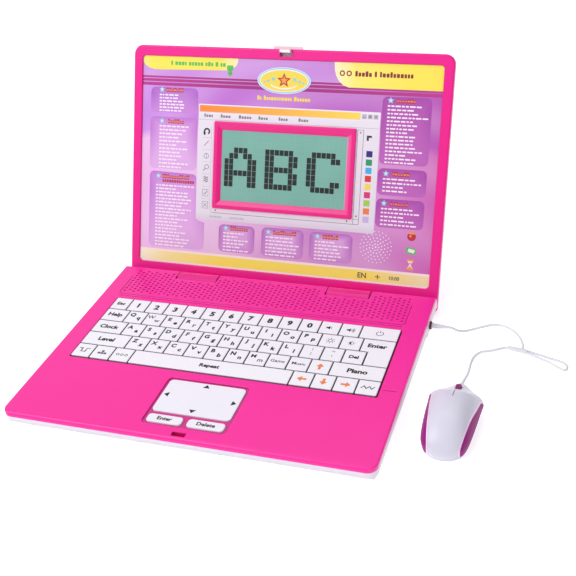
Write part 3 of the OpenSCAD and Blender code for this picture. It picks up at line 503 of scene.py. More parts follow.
BLACKP = plastic("socket_black", (34, 34, 40), rough=0.5, grain=0.00002)
CONE = plastic("speaker_black", (52, 52, 58), rough=0.8, grain=0.00006, grain_scale=600)
CELL = plastic("cell_jacket", (58, 58, 64), rough=0.35, coat=0.4)
STEEL = metal("screw_steel", (196, 196, 202), 0.32)
PIN = metal("pin_steel", (200, 202, 206), 0.25)
SPRING = metal("spring_steel", (205, 206, 212), 0.28)
DOOR = plastic("white_door", (230, 227, 236), rough=0.4, spread=0.08)
LCD = lcd_material()
PANEL = panel_material()

# ------------------------------------------------------------------ CAD nodes that stay as they are
for node, mat in {"batteries": CELL, "battery_contacts": SPRING, "rubber_feet": RUBBER, "case_screws": STEEL, "hinge_pins": PIN,
                  "main_board": BOARD, "keypad_mat": SILICONE, "speaker": CONE, "mouse_jack": BLACKP, "lcd_board": BOARD,
                  "lid_screws": STEEL, "latch_spring": SPRING, "battery_door_screw": STEEL, "mouse_board": BOARD,
                  "mouse_feet": RUBBER, "lcd_glass": LCD, "activity_panel": PANEL, "mouse_base": MWHITE}.items():
    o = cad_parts[node]
    o.data.materials.clear()
    o.data.materials.append(mat)


# ------------------------------------------------------------------ base
def base_ring(inset, z, rear_extra=0.0):
    """The base's outline seen from above, moved in by inset; its rear follows the rounded back."""
    half = 165 - inset
    rear = AXIS_Y + math.sqrt(max(0.01, (11.9 - rear_extra) ** 2 - (z - AXIS_Z) ** 2)) if z > 3 else 252.0
    r = max(9 - inset, 0.5)
    rr = 1.2
    return [(x, y, z) for x, y in rect4(-half, inset, half, rear - inset * 0.0, (rr, rr, r, r), 8)]


def edge_trim(x0, y0, x1, y1, r, z, w, n=6):
    """A cutter that rounds the rim of a pocket by w."""
    rings = []
    for i in range(5):
        a = math.pi / 2 * i / 4
        d = w * (1 - math.cos(a))
        rings.append([(x, y, z - w + w * math.sin(a)) for x, y in rrect(x0 - d, y0 - d, x1 + d, y1 + d, r + d, n)])
    rings.append([(x, y, z + 1) for x, y in rrect(x0 - w, y0 - w, x1 + w, y1 + w, r + w, n)])
    rings.insert(0, [(x, y, z - w - 0.4) for x, y in rrect(x0, y0, x1, y1, r, n)])
    return rings


# Envelope that rounds the long edges of the top shell
env = Shape()
rings = [base_ring(0.03, 6.0), base_ring(0.03, SEAM + 0.02)]
rings[0] = [(x, y, 6.0) for x, y, z in rings[1]]
rings.append(base_ring(0.03, 22.6))
for i in range(1, 7):
    a = math.pi / 2 * i / 6
    rings.append(base_ring(0.03 + 1.3 * (1 - math.cos(a)), 22.68 + 1.3 * math.sin(a)))
env.loft(rings)

grille = Shape()
speaker_holes = Shape()
for c in range(61):
    gx = -144.5 + 4.767 * c
    odd = c % 2 == 1
    for j in range(8 if odd else 9):
        gy = (206.1 if odd else 203.7) + 4.8 * j
        if math.hypot(gx + 120.67, gy - 215.7) < 11.6:
            speaker_holes.prism(circle(gx, gy, 1.22, 14, 1.12), DECK - 0.45, DECK + 1)
            continue
        if gy > 231.5 and any(58 - 3.2 < sx * gx < 101.8 + 3.2 for sx in (-1, 1)):
            continue
        grille.prism(circle(gx, gy, 1.22, 14, 1.12), DECK - 0.7, DECK + 1)

pockets = Shape()
pockets.loft(edge_trim(FX0 - 0.5, FY - 0.5, FX0 + FW + 0.5, FY + 5 * RP + 0.5, 1.6, DECK - 0.03, 0.7))
pockets2 = Shape()
pockets2.loft(edge_trim(PX0 - 2.2, 14, PX1 + 2.2, PY + PD + 2.4, 4.6, DECK - 0.03, 0.8))
pockets2.loft(edge_trim(-7, 3.4, 5, 8.3, 0.05, DECK - 0.03, 0.3, 1))
# moulding lines beside the key field and along the front of the grille
lines = Shape()
lines.box(148.2, 97.6, 160.2, 98.3, DECK - 0.3, DECK + 1)
lines.box(-146.5, 194.2, 143.6, 194.9, DECK - 0.28, DECK + 1)
top = cut(cad_copy("base_top_shell", "base_top"), ("INTERSECT", env, ROW), ("DIFFERENCE", pockets, ROW), ("DIFFERENCE", pockets2, ROW),
          ("DIFFERENCE", lines, ROW), ("DIFFERENCE", grille, ROW), ("DIFFERENCE", speaker_holes, ROW))
finish_piece(top, PINK, "base", ("base_top_shell",), 30)

bot = cad_copy("base_bottom_shell", "base_bottom")
finish_piece(bot, WHITE, "base", ("base_bottom_shell",), 30)
door = cad_copy("battery_door", "battery_door_panel")
finish_piece(door, DOOR, "battery_door", ("battery_door",), 30)

# ------------------------------------------------------------------ keys
ROWS = {1: 18.05, 2: 24.05, 3: 31.55, 4: 45.25, 5: 18.85}


def row_y(r):
    return FY + (5 - r) * RP


def cell(r, i):
    return (FX0 + ROWS[r] + (i - 1) * KP, r, FX0 + ROWS[r] + i * KP)


def first(r):
    return (FX0, r, FX0 + ROWS[r])


def rest(r, n):
    return (FX0 + ROWS[r] + n * KP, r, FX0 + FW)


XB = FX0 + ROWS[5] + 2 * KP + 152.85
KEYS = {
    "key_esc": [first(1)], "number_keys": [cell(1, i) for i in range(1, 11)], "volume_keys": [cell(1, 11), cell(1, 12)], "key_power": [rest(1, 12)],
    "key_help": [first(2)], "top_letter_keys": [cell(2, i) for i in range(1, 11)], "key_brightness": [cell(2, 11)], "key_contrast": [cell(2, 12)],
    "key_clock": [first(3)], "home_letter_keys": [cell(3, i) for i in range(1, 12)], "key_delete": [cell(3, 12)],
    "key_level": [first(4)], "bottom_letter_keys": [cell(4, i) for i in range(1, 8)], "mode_keys": [cell(4, 8), cell(4, 9)],
    "key_arrow_up": [cell(4, 10)], "key_piano": [rest(4, 10)], "key_repeat": [(XB - 152.85, 5, XB)], "key_arrow_left": [(XB, 5, XB + KP)],
    "key_arrow_down": [(XB + KP, 5, XB + 2 * KP)], "key_arrow_right": [(XB + 2 * KP, 5, XB + 3 * KP)],
    "game_keys": [first(5), cell(5, 1), cell(5, 2), (XB + 3 * KP, 5, FX0 + FW)],
}
G = 0.4 + 0.12
for node, cells in KEYS.items():
    e = Shape()
    for x0, r, x1 in cells:
        e.pad(x0 + G, row_y(r) + G, x1 - G, row_y(r) + RP - G, 1.0, 13.0, TOP - 0.01, 0.6, 5, 4)
    finish_piece(cut(cad_copy(node, node + "_caps"), ("INTERSECT", e, ROW)), KEY, node, (node,), 30)
EX = FX0 + ROWS[2] + 12 * KP
ELX = FX0 + FW - 22.35
e1, e2 = Shape(), Shape()
e1.pad(EX + G, row_y(2) + G, FX0 + FW - G, row_y(1) - G, 1.0, 13.0, TOP - 0.01, 0.6, 5, 4)
e2.pad(ELX + G, row_y(3) + G, FX0 + FW - G, row_y(1) - G, 1.0, 13.0, TOP - 0.01, 0.6, 5, 4)
t1 = new_object("enter_env", e1, ROW)
cut(t1, ("UNION", e2, ROW))
finish_piece(cut(cad_copy("key_enter", "key_enter_caps"), ("INTERSECT", t1, ROW)), KEY, "key_enter", ("key_enter",), 30)

# ------------------------------------------------------------------ legends
_glyphs = {}


def glyphs(text, size, bold):
    """A word as closed outlines lying flat, centred on the origin, in millimetres, one millimetre thick."""
    key = (text, size, bold)
    if key not in _glyphs:
        cu = bpy.data.curves.new("word", "FONT")
        cu.body, cu.size, cu.offset, cu.extrude, cu.resolution_u = text, size, bold * size, 0.5, 3
        cu.align_x, cu.align_y = "CENTER", "CENTER"
        ob = bpy.data.objects.new("word", cu)
        bpy.context.scene.collection.objects.link(ob)
        dg = bpy.context.evaluated_depsgraph_get()
        me = bpy.data.meshes.new_from_object(ob.evaluated_get(dg))
        bm = bmesh.new()
        bm.from_mesh(me)
        bmesh.ops.remove_doubles(bm, verts=bm.verts, dist=1e-4)
        xs = [v.co.x for v in bm.verts] or [0]
        ys = [v.co.y for v in bm.verts] or [0]
        cx, cy = (min(xs) + max(xs)) / 2, (min(ys) + max(ys)) / 2
        bm.verts.index_update()
        _glyphs[key] = ([(v.co.x - cx, v.co.y - cy, v.co.z) for v in bm.verts], [tuple(v.index for v in f.verts) for f in bm.faces])
        bm.free()
        bpy.data.objects.remove(ob)
        bpy.data.meshes.remove(me)
        bpy.data.curves.remove(cu)
    return _glyphs[key]


def write(shape, text, x, y, size, z0, z1, bold=0.022, squeeze=1.0):
    vs, fs = glyphs(text, size, bold)
    b = len(shape.v)
    shape.v.extend((x + vx * squeeze, y + vy, (z0 + z1) / 2 + vz * (z1 - z0)) for vx, vy, vz in vs)
    shape.f.extend(tuple(b + i for i in f) for f in fs)


KZ0, KZ1 = TOP - 0.12, TOP + 0.03


def centre(c):
    return (c[0] + c[2]) / 2, row_y(c[1]) + RP / 2


def legend(node, fill, mat=None, suffix="legend"):
    sh = Shape()
    fill(sh)
    return piece(f"{node}_{suffix}", sh, ROW, mat or INKBLACK, node, (), 40, False)


def letters(node, word_upper, dx=-4.0, dy=3.3):
    def fill(sh):
        for c, ch in zip(KEYS[node], word_upper):
            x, y = centre(c)
            write(sh, ch, x + dx, y + dy, 7.0, KZ0, KZ1, 0.012 if ch in "MW" else 0.045)
            write(sh, ch.lower(), x + 3.6, y - 2.4, 7.2, KZ0, KZ1, 0.012 if ch in "MW" else 0.045)
    legend(node, fill)


def one_word(node, word, size, dx=0.0, dy=0.0, bold=0.04, squeeze=1.05):
    def fill(sh):
        x, y = centre(KEYS[node][0])
        write(sh, word, x + dx, y + dy, size, KZ0, KZ1, bold, squeeze)
    legend(node, fill)


one_word("key_esc", "Esc", 6.4)
one_word("key_help", "Help", 7.4)
one_word("key_clock", "Clock", 7.4)
one_word("key_level", "Level", 7.6)
one_word("key_delete", "Del", 6.0)
one_word("key_piano", "Piano", 8.0)
one_word("key_repeat", "Repeat", 6.4)


def digits(sh):
    for c, ch in zip(KEYS["number_keys"], "1234567890"):
        x, y = centre(c)
        write(sh, ch, x, y, 9.6, KZ0, KZ1, 0.05)


legend("number_keys", digits)
letters("top_letter_keys", "QWERTYUIOP")
letters("bottom_letter_keys", "ZXCVBNM")


def home(sh):
    for c, ch in zip(KEYS["home_letter_keys"], "ASDFGHJKL"):
        x, y = centre(c)
        write(sh, ch, x - 4.4, y + 3.3, 7.0, KZ0, KZ1, 0.045)
        write(sh, ch.lower(), x + 3.6, y - 2.4, 7.2, KZ0, KZ1, 0.045)
    x, y = centre(KEYS["home_letter_keys"][9])
    for dy, tail in ((3.9, False), (-2.6, True)):
        sh.prism(circle(x, y + dy + 1.1, 0.5, 10), KZ0, KZ1)
        sh.prism(circle(x, y + dy - 1.0, 0.5, 10), KZ0, KZ1)
        if tail:
            sh.prism([(x - 0.1, y + dy - 1.7), (x + 0.4, y + dy - 1.6), (x - 0.2, y + dy - 2.6), (x - 0.55, y + dy - 2.5)], KZ0, KZ1)
    x, y = centre(KEYS["home_letter_keys"][10])
    for dx in (-0.8, 0.8):
        sh.prism([(x + dx - 0.36, y + 5.0), (x + dx + 0.36, y + 5.0), (x + dx + 0.22, y + 3.2), (x + dx - 0.22, y + 3.2)], KZ0, KZ1)
    sh.prism([(x - 0.36, y - 1.6), (x + 0.36, y - 1.6), (x + 0.22, y - 3.4), (x - 0.22, y - 3.4)], KZ0, KZ1)


legend("home_letter_keys", home)


def speaker_icon(sh, x, y, waves):
    sh.box(x - 3.4, y - 1.1, x - 2.0, y + 1.1, KZ0, KZ1)
    sh.prism([(x - 1.8, y - 1.2), (x + 0.2, y - 2.7), (x + 0.2, y + 2.7), (x - 1.8, y + 1.2)], KZ0, KZ1)
    for k in range(waves):
        sh.ringband(x - 0.4, y, 1.7 + 1.25 * k, 2.25 + 1.25 * k, KZ0, KZ1, -42, 42, 8)


def volume(sh):
    for c, n in zip(KEYS["volume_keys"], (1, 3)):
        x, y = centre(c)
        speaker_icon(sh, x, y, n)


legend("volume_keys", volume)


def power(sh):
    x, y = centre(KEYS["key_power"][0])
    sh.ringband(x, y - 0.3, 2.9, 3.5, KZ0, KZ1, 122, 418, 28)
    sh.box(x - 0.3, y + 0.6, x + 0.3, y + 4.0, KZ0, KZ1)


legend("key_power", power)


def sun(sh):
    x, y = centre(KEYS["key_brightness"][0])
    sh.ringband(x, y, 1.6, 2.1, KZ0, KZ1, n=20)
    for k in range(8):
        a = math.radians(45 * k)
        c, s = math.cos(a), math.sin(a)
        sh.prism([(x + c * 2.9 - s * 0.26, y + s * 2.9 + c * 0.26), (x + c * 2.9 + s * 0.26, y + s * 2.9 - c * 0.26),
                  (x + c * 4.3 + s * 0.26, y + s * 4.3 - c * 0.26), (x + c * 4.3 - s * 0.26, y + s * 4.3 + c * 0.26)], KZ0, KZ1)


legend("key_brightness", sun)


def contrast(sh):
    x, y = centre(KEYS["key_contrast"][0])
    sh.ringband(x, y, 1.9, 2.25, KZ0, KZ1, n=20)
    sh.prism(arc(x - 0.05, y, 1.7, 90, 270, 12), KZ0, KZ1)
    for k in range(8):
        a = math.radians(45 * k)
        sh.prism(circle(x + 3.2 * math.cos(a), y + 3.2 * math.sin(a), 0.27, 8), KZ0, KZ1)


legend("key_contrast", contrast)


def enter_word(sh):
    write(sh, "Enter", (EX + FX0 + FW) / 2 - 0.4, row_y(2) + RP / 2, 7.6, KZ0, KZ1, 0.04, 1.05)


legend("key_enter", enter_word)


def modes(sh):
    for c, w in zip(KEYS["mode_keys"], ("Game", "Music")):
        x, y = centre(c)
        write(sh, w, x, y + 0.4, 5.4, KZ0, KZ1, 0.01, 1.05)


legend("mode_keys", modes)


def arrow(node, ang):
    def fill(sh):
        x, y = centre(KEYS[node][0])
        pts = [(-1.2, -4.2), (1.2, -4.2), (1.2, 0.2), (3.5, 0.2), (0, 4.4), (-3.5, 0.2), (-1.2, 0.2)]
        a = math.radians(ang)
        sh.prism([(x + px * math.cos(a) - py * math.sin(a), y + px * math.sin(a) + py * math.cos(a)) for px, py in pts], KZ0, KZ1)
    legend(node, fill, ORANGE)


arrow("key_arrow_up", 0)
arrow("key_arrow_left", 90)
arrow("key_arrow_down", 180)
arrow("key_arrow_right", -90)


def games(sh):
    (ax, ay), (bx, by), (cx, cy), (dx, dy) = [centre(c) for c in KEYS["game_keys"]]
    # a winding path, a stack of blocks, a row of counters and a zigzag
    sh.stroke([(ax - 5.5, ay + 2.6), (ax - 2.2, ay + 2.6), (ax - 2.2, ay - 2.4), (ax + 2.0, ay - 2.4), (ax + 2.0, ay + 2.6), (ax + 5.6, ay + 2.6)], 0.9, KZ0, KZ1)
    for k in range(3):
        sh.pad(bx - 4.4 + 3.0 * k, by - 2.8, bx - 1.8 + 3.0 * k, by - 0.2, 0.4, KZ0, KZ1, 0.03, 3, 1)
    sh.pad(bx - 1.4, by + 0.2, bx + 1.2, by + 2.8, 0.4, KZ0, KZ1, 0.03, 3, 1)
    for k in range(3):
        sh.ringband(cx - 4.2 + 4.2 * k, cy, 1.0, 1.65, KZ0, KZ1, n=16)
    sh.stroke([(dx - 5.8, dy - 1.8), (dx - 3.5, dy + 1.6), (dx - 1.2, dy - 1.8), (dx + 1.2, dy + 1.6), (dx + 3.5, dy - 1.8), (dx + 5.8, dy + 1.6)], 0.9, KZ0, KZ1)


legend("game_keys", games, INKGREY)

# ------------------------------------------------------------------ touchpad and its buttons
e = Shape().pad(PX0 + 0.02, PY + 0.02, PX1 - 0.02, PY + PD - 0.02, 4.0, 13.0, DECK - 0.01, 0.7, 8, 4)
finish_piece(cut(cad_copy("touchpad", "touchpad_plate"), ("INTERSECT", e, ROW)), PADM, "touchpad", ("touchpad",), 30)
tri = Shape()
for x, y, a in ((-1.5, 70.3, 0), (-1.5, 36.0, 180), (-32.2, 53.4, 90), (29.6, 53.4, -90)):
    r = math.radians(a)
    tri.prism([(x + px * math.cos(r) - py * math.sin(r), y + px * math.sin(r) + py * math.cos(r)) for px, py in ((-3.1, -1.9), (3.1, -1.9), (0, 2.4))], DECK - 0.1, DECK + 0.03)
piece("touchpad_arrows", tri, ROW, INKBLACK, "touchpad", (), 40, False)
for node, b, word in (("pad_enter_button", (PX0 + 0.8, PCX - 3.0), "Enter"), ("pad_delete_button", (PCX + 1.5, PX1 - 0.9), "Delete")):
    e = Shape().pad(b[0] + 0.02, BTN_Y + 0.02, b[1] - 0.02, BTN_Y + BTN_D - 0.02, 3.4, 13.0, DECK + 0.29, 0.9, 8, 4)
    finish_piece(cut(cad_copy(node, node + "_cap"), ("INTERSECT", e, ROW)), PADM, node, (node,), 30)
    sh = Shape()
    write(sh, word, (b[0] + b[1]) / 2, BTN_Y + BTN_D / 2 + 0.2, 5.8, DECK + 0.2, DECK + 0.33, 0.032, 1.05)
    piece(node + "_legend", sh, ROW, INKBLACK, node, (), 40, False)

# ------------------------------------------------------------------ lid shells
def lid_ring(inset, z, r=9.5):
    h = 165 - inset
    return [(x, y, z) for x, y in rect4(-h, -21.7 + inset, h, 224.4 - inset, (max(r - inset, 0.5), max(r - inset, 0.5), max(3 - inset, 0.3), max(3 - inset, 0.3)), 8)]


env = Shape()
rings = [lid_ring(0.03, -6.0), lid_ring(0.03, -1.75)]
for i in range(1, 7):
    a = math.pi / 2 * i / 6
    rings.append(lid_ring(0.03 + 1.7 * (1 - math.cos(a)), -1.72 + 1.7 * math.sin(a)))
env.loft(rings)
envo = new_object("bezel_env", env, LID)
ears = Shape()
for sx in (-1, 1):
    cx = sx * 79.9
    ears.lathe_x([(cx - 21.87, 11.0), (cx - 21.6, 11.6), (cx - 21.1, 11.97), (cx + 21.1, 11.97), (cx + 21.6, 11.6), (cx + 21.87, 11.0)], S0, FACE, 48)
ears2 = Shape()
for sx in (-1, 1):
    cx = sx * 79.9
    ears2.box(cx - 21.87, -21.67, cx + 21.87, -10.5, -4.99, 10.42)
cut(envo, ("UNION", ears, LID), ("UNION", ears2, LID))
creases = Shape()
for sx in (-1, 1):
    for phi in (41.0, 12.0):
        t = math.radians(phi) - math.pi / 2 + TILT
        # the crease runs along the barrel, phi forward of its crest at rest
        n = Vector((0, -math.sin(math.radians(phi)), math.cos(math.radians(phi))))
        q = Matrix.Rotation(-TILT, 3, "X") @ n
        tq = Vector((0, -q.z, q.y))
        a, b = sx * 79.9 - 23, sx * 79.9 + 23
        pts = [q * 11.45, q * 12.6 + tq * 0.55, q * 12.6 - tq * 0.55]
        ring = [(p_.y + S0, p_.z + FACE) for p_ in pts]
        creases.loft([[(x, y, z) for y, z in ring] for x in (a, b)])
trim = Shape()
trim.loft(edge_trim(-155.3, 1.0, 155.3, 214.1, 4.0, -0.03, 0.7))
crease_tool = tidy(new_object("crease_tool", creases, LID), 1e-9)
bezel = cut(cad_copy("lid_front_bezel", "lid_bezel"), ("INTERSECT", envo, LID), ("DIFFERENCE", trim, LID), ("DIFFERENCE", crease_tool, LID))
finish_piece(bezel, LIDPINK, "lid", ("lid_front_bezel",), 30)

env = Shape()
rings = []
for i in range(0, 7):
    a = math.pi / 2 * i / 6
    rings.append(lid_ring(0.03 + 4.2 * (1 - math.sin(a)), -10.97 + 4.2 * (1 - math.cos(a))))
rings.append(lid_ring(0.03, -5.2))
rings.append(lid_ring(0.25, -5.02))
env.loft(rings)
cover = cut(cad_copy("lid_back_cover", "lid_cover"), ("INTERSECT", env, LID))
finish_piece(cover, LIDPINK, "lid", ("lid_back_cover",), 30)

# Frame around the screen: flat outside, sloping down to the glass
fr = Shape()
prof = [(0.0, PANEL_Z - 0.05), (0.0, -0.35), (0.25, 0.12), (0.7, 0.3), (3.6, 0.38), (4.1, 0.3), (8.15, -1.15), (8.55, -1.45), (8.6, PANEL_Z - 0.08)]
rings = [[(x, y, z) for x, y in rrect(LCD_X0 - RIM + d, LCD_S0 - RIM + d, LCD_X1 + RIM - d, LCD_S1 + RIM - d, max(1.4 - d * 0.12, 0.3), 4)] for d, z in prof]
fr.loft(rings, loop=True)
def frame_material():
    """Lid pink, with a painted reflection of the studio window: the chamfer on the right that faces left is painted
    pale pink.
    """
    m, nt, p = base_mat("pink_screen_frame")
    x, s = lid_coords(nt)
    sep = nt.nodes.new("ShaderNodeSeparateXYZ")
    nt.links.new(nt.nodes.new("ShaderNodeNewGeometry").outputs["Normal"], sep.inputs[0])
    # painted reflection: faces turned to the left on the right-hand part of the lid are mixed towards pale pink
    sheen_facing = mathn(nt, "MULTIPLY_ADD", sep.outputs[0], -4.0, -1.2, clamp=True)
    right = mathn(nt, "GREATER_THAN", x, 200.0)
    c = nt.nodes.new("ShaderNodeRGB")
    c.outputs[0].default_value = lin((240, 12, 136))
    col = mixrgb(nt, mathn(nt, "MULTIPLY", mathn(nt, "MULTIPLY", sheen_facing, right), 0.8), c.outputs[0], lin((255, 214, 238)))
    finish_surface(nt, p, col, 0.3, 0.08, 0.00001, 1500, coat=0.1, coat_rough=0.2)
    return m


piece("screen_frame", fr, LID, frame_material(), "lid", ("lcd_frame",), 24)

# pocket that takes the latch hook: its liner is a darker red than the pink shell, painted shade inside the pocket
ln = Shape()
ln.box(-7.6, 2.8, 5.6, 8.9, DECK - 6.6, DECK - 6.2)
for b in ((-7.6, 2.8, -7.15, 8.9), (5.15, 2.8, 5.6, 8.9), (-7.6, 2.8, 5.6, 3.25), (-7.6, 8.45, 5.6, 8.9)):
    ln.box(b[0], b[1], b[2], b[3], DECK - 6.4, DECK - 1.4)
piece("latch_slot_liner", ln, ROW, plastic("pocket_red_painted_shade", (232, 0, 96), rough=0.5), "base", (), 40, False)

# latch: CAD shape with softened edges
lt = cad_copy("latch", "latch_hook")
bv = lt.modifiers.new("soft", "BEVEL")
bv.width, bv.segments, bv.limit_method, bv.angle_limit = 0.0003, 2, "ANGLE", math.radians(40)
finish_piece(lt, LATCH, "latch", ("latch",), 40)

# ------------------------------------------------------------------ artwork on the lid's sheet
def Z(level):
    return PANEL_Z - 0.1, PANEL_Z + 0.015 * level


def art(name, level, mat, outlines):
    """outlines in millimetres from the lid's left edge and the deck line."""
    sh = Shape()
    z0, z1 = Z(level)
    for o in outlines:
        sh.prism([(x - 165, s) for x, s in o], z0, z1)
    return piece("print_" + name, sh, LID, mat, "lid", (), 40, False)


YEL_T = gradient_material("print_yellow_tab", [(0.0, (255, 240, 130)), (0.12, (255, 236, 80)), (0.8, (255, 234, 84)), (1.0, (254, 246, 190))], "x", 9, 115)
YEL_R = gradient_material("print_yellow_title", [(0.0, (255, 248, 200)), (0.2, (255, 240, 112)), (0.7, (255, 234, 84)), (1.0, (255, 232, 84))], "x", 214, 321)
STRIPE = gradient_material("print_stripe", [(0.0, (190, 40, 146)), (0.4, (160, 22, 122)), (0.6, (166, 26, 126)), (1.0, (190, 44, 142))], "x", 9, 321)
STRIPE2 = gradient_material("print_stripe_pale", [(0.0, (214, 110, 196)), (1.0, (206, 90, 178))], "x", 9, 321)
BARY = gradient_material("print_bar", [(0.0, (255, 250, 226)), (0.1, (255, 242, 160)), (0.3, (255, 236, 86)), (0.8, (255, 236, 98)), (1.0, (248, 234, 186))], "x", 9, 321)
CREAM = ink("print_cream", (255, 240, 234))
TITLE = gradient_material("print_orange_bar", [(0.0, (250, 138, 50)), (0.45, (252, 176, 62)), (1.0, (255, 222, 90))], "x", 73, 242)
WIN = gradient_material("print_window", [(0.0, (220, 214, 230)), (0.06, (232, 228, 240)), (0.9, (236, 230, 242)), (1.0, (246, 238, 248))], "s", 50, 168)
BOX_A = box_material("print_box_cool", (176, 96, 204), (192, 122, 214), (214, 150, 226))
BOX_B = box_material("print_box_pale", (194, 118, 212), (222, 162, 232), (238, 196, 244))
BOX_C = box_material("print_box_warm", (168, 66, 172), (184, 84, 182), (200, 108, 196))
BOX_D = box_material("print_box_low", (180, 100, 196), (222, 168, 228), (212, 150, 220))
SKY = ink("print_sky", (150, 212, 224))
SKYP = ink("print_sky_pale", (214, 238, 248))
SUNNY = ink("print_sun", (248, 222, 78))
RED = ink("print_red", (190, 34, 56))
AMBER = ink("print_amber", (246, 160, 70))
PALE = ink("print_white", (250, 240, 252))
MAROON = ink("print_maroon", (140, 24, 44))
GREEN = ink("print_green", (86, 196, 84))
GREY = ink("print_grey", (126, 122, 132))
GREYL = ink("print_grey_pale", (186, 182, 194))
BLACK = ink("print_black", (30, 28, 34))

art("stripe_low", 1, STRIPE, [rrect(9.9, 184.3, 320.1, 187.5, 0.3, 2), rrect(9.9, 188.4, 320.1, 191.2, 0.3, 2), rrect(9.9, 192.0, 320.1, 194.0, 0.3, 2)])
art("tab_left", 2, YEL_T, [[(9.9, 213.8), (114, 213.8), (113.4, 209.5), (111.6, 206.2), (108.5, 203.8), (104.5, 202.4), (100, 201.8), (30, 200.4), (22, 200.6), (16.5, 202), (12.5, 204.6), (9.9, 207.8)]])
art("tab_right", 2, YEL_R, [[(320.1, 213.8), (213.4, 213.8), (213.9, 206.5), (215.6, 200.6), (218.6, 195.8), (222.8, 192.2), (228.6, 190.1), (320.1, 190.1)]])
art("bar_edge", 1, CREAM, [rrect(9.9, 0.9, 320.1, 15.1, 0.4, 2)])
art("bar", 2, BARY, [rrect(9.9, 2.8, 320.1, 12.7, 0.4, 2)])

# badge: an oval with a star, no words
BX, BS = 162.6, 194.0
art("badge_rim", 3, SKYP, [circle(BX, BS, 27.7, 56, 12.9)])
art("badge_ring", 4, SKY, [circle(BX, BS, 26.7, 56, 12.1)])
art("badge_gap", 5, PALE, [circle(BX, BS, 25.6, 56, 11.2)])
art("badge_field", 6, SUNNY, [circle(BX, BS - 0.2, 24.6, 56, 10.2)])
art("badge_star", 7, RED, [star(BX, BS + 0.2, 7.4)])
art("badge_star_core", 8, AMBER, [star(BX, BS + 0.2, 4.4)])
art("badge_dots", 7, SKY, [circle(BX + sx * d, BS + h, r, 14) for sx in (-1, 1) for d, h, r in ((11.0, 1.2, 1.9), (16.2, -0.6, 1.5), (20.3, -1.9, 1.1))])
art("badge_arc", 7, PALE, [[(BX + 17 * math.cos(math.radians(a)), BS + 8.4 * math.sin(math.radians(a))) for a in range(215, 326, 10)]
                           + [(BX + 15.8 * math.cos(math.radians(a)), BS + 7.2 * math.sin(math.radians(a))) for a in range(325, 214, -10)]])

# boxes with their star, heading marks and lines of print
BOXES = [
    ("a", BOX_A, 19.3, 157.3, 71.6, 182.6, 31.5, 180.3, 6, 36.5, 57.0),
    ("b", BOX_B, 19.0, 99.6, 72.0, 152.8, 32.0, 148.6, 12, 39.0, 58.0),
    ("c", BOX_B, 19.4, 17.5, 82.4, 96.8, 29.2, 91.9, 19, 34.0, 66.0),
    ("d", BOX_D, 98.8, 18.3, 138.1, 46.7, 106.4, 43.2, 6, 111.5, 130.5),
    ("e", BOX_D, 145.7, 17.7, 190.5, 47.3, 152.8, 42.9, 6, 158.0, 182.5),
    ("f", BOX_D, 196.8, 18.2, 241.3, 47.1, 205.0, 42.9, 6, 210.5, 226.5),
    ("g", BOX_C, 263.0, 118.8, 311.0, 183.2, 270.9, 179.6, 16, 277.0, 297.0),
    ("h", BOX_C, 262.7, 89.0, 310.7, 114.9, 270.6, 109.9, 4, 277.0, 294.5),
    ("i", BOX_C, 262.8, 57.4, 310.4, 85.5, 270.5, 81.0, 5, 277.0, 294.0),
]
seed = 7


def rnd():
    global seed
    seed = (seed * 1103515245 + 12345) % 2147483648
    return seed / 2147483648


stars, stars_in, head, head_hi, rows_w = [], [], [], [], []
for key, mat, x0, s0, x1, s1, sx_, ss_, n, h0, h1 in BOXES:
    if key == "c":
        out = [(x0 + 5, s0), (x1 - 5, s0)] + arc(x1 - 5, s0 + 5, 5, 270, 360, 5) + [(x1, 46.5)] + [(76.0, 48.2), (72.4, 50.5)] + arc(68, s1 - 5, 4, 0, 90, 5) + arc(x0 + 5, s1 - 5, 5, 90, 180, 5) + arc(x0 + 5, s0 + 5, 5, 180, 270, 5)[:-1]
    else:
        out = rrect(x0, s0, x1, s1, 5, 6)
    art("box_" + key, 2, mat, [out])
    stars.append(star(sx_, ss_, 3.4))
    stars_in.append(star(sx_, ss_, 1.9))
    x = h0
    while x < h1 - 1.5:
        w = 1.5 + 1.1 * rnd()
        tall = 4.6 if rnd() > 0.6 or x == h0 else 3.2
        head.append(rrect(x, ss_ - 2.3, min(x + w, h1), ss_ - 2.3 + tall, 0.5, 2))
        head_hi.append(rrect(x + 0.3, ss_ - 1.0, min(x + w, h1) - 0.3, ss_ - 1.0 + tall * 0.35, 0.3, 2))
        x += w + 0.55
    if key == "c":
        x = h0
        while x < h1 + 3:
            w = 1.5 + 1.1 * rnd()
            head.append(rrect(x, ss_ - 6.4, x + w, ss_ - 3.3, 0.5, 2))
            x += w + 0.55
    first_s = ss_ - (9.6 if key == "c" else 5.2)
    step = (first_s - (s0 + 2.0)) / max(n - 1, 1)
    step = min(step, 3.85)
    for k in range(n):
        s = first_s - step * k
        x = sx_ - 2.6
        rows_w.append(rrect(x, s - 0.75, x + 2.6, s + 0.75, 0.2, 1))
        x += 3.5
        end = x + (x1 - x - 4.5) * (0.5 + 0.5 * rnd()) * (0.8 if key in "abc" else 0.95)
        while x < end:
            w = 1.6 + 4.6 * rnd()
            rows_w.append(rrect(x, s - 0.72, min(x + w, x1 - 2.0), s + 0.72, 0.25, 1))
            x += w + 1.0
art("stars", 4, SKY, stars)
art("stars_core", 5, SKYP, stars_in)
art("headings", 4, RED, head)
art("headings_light", 5, AMBER, head_hi)
art("rows", 4, PALE, rows_w)

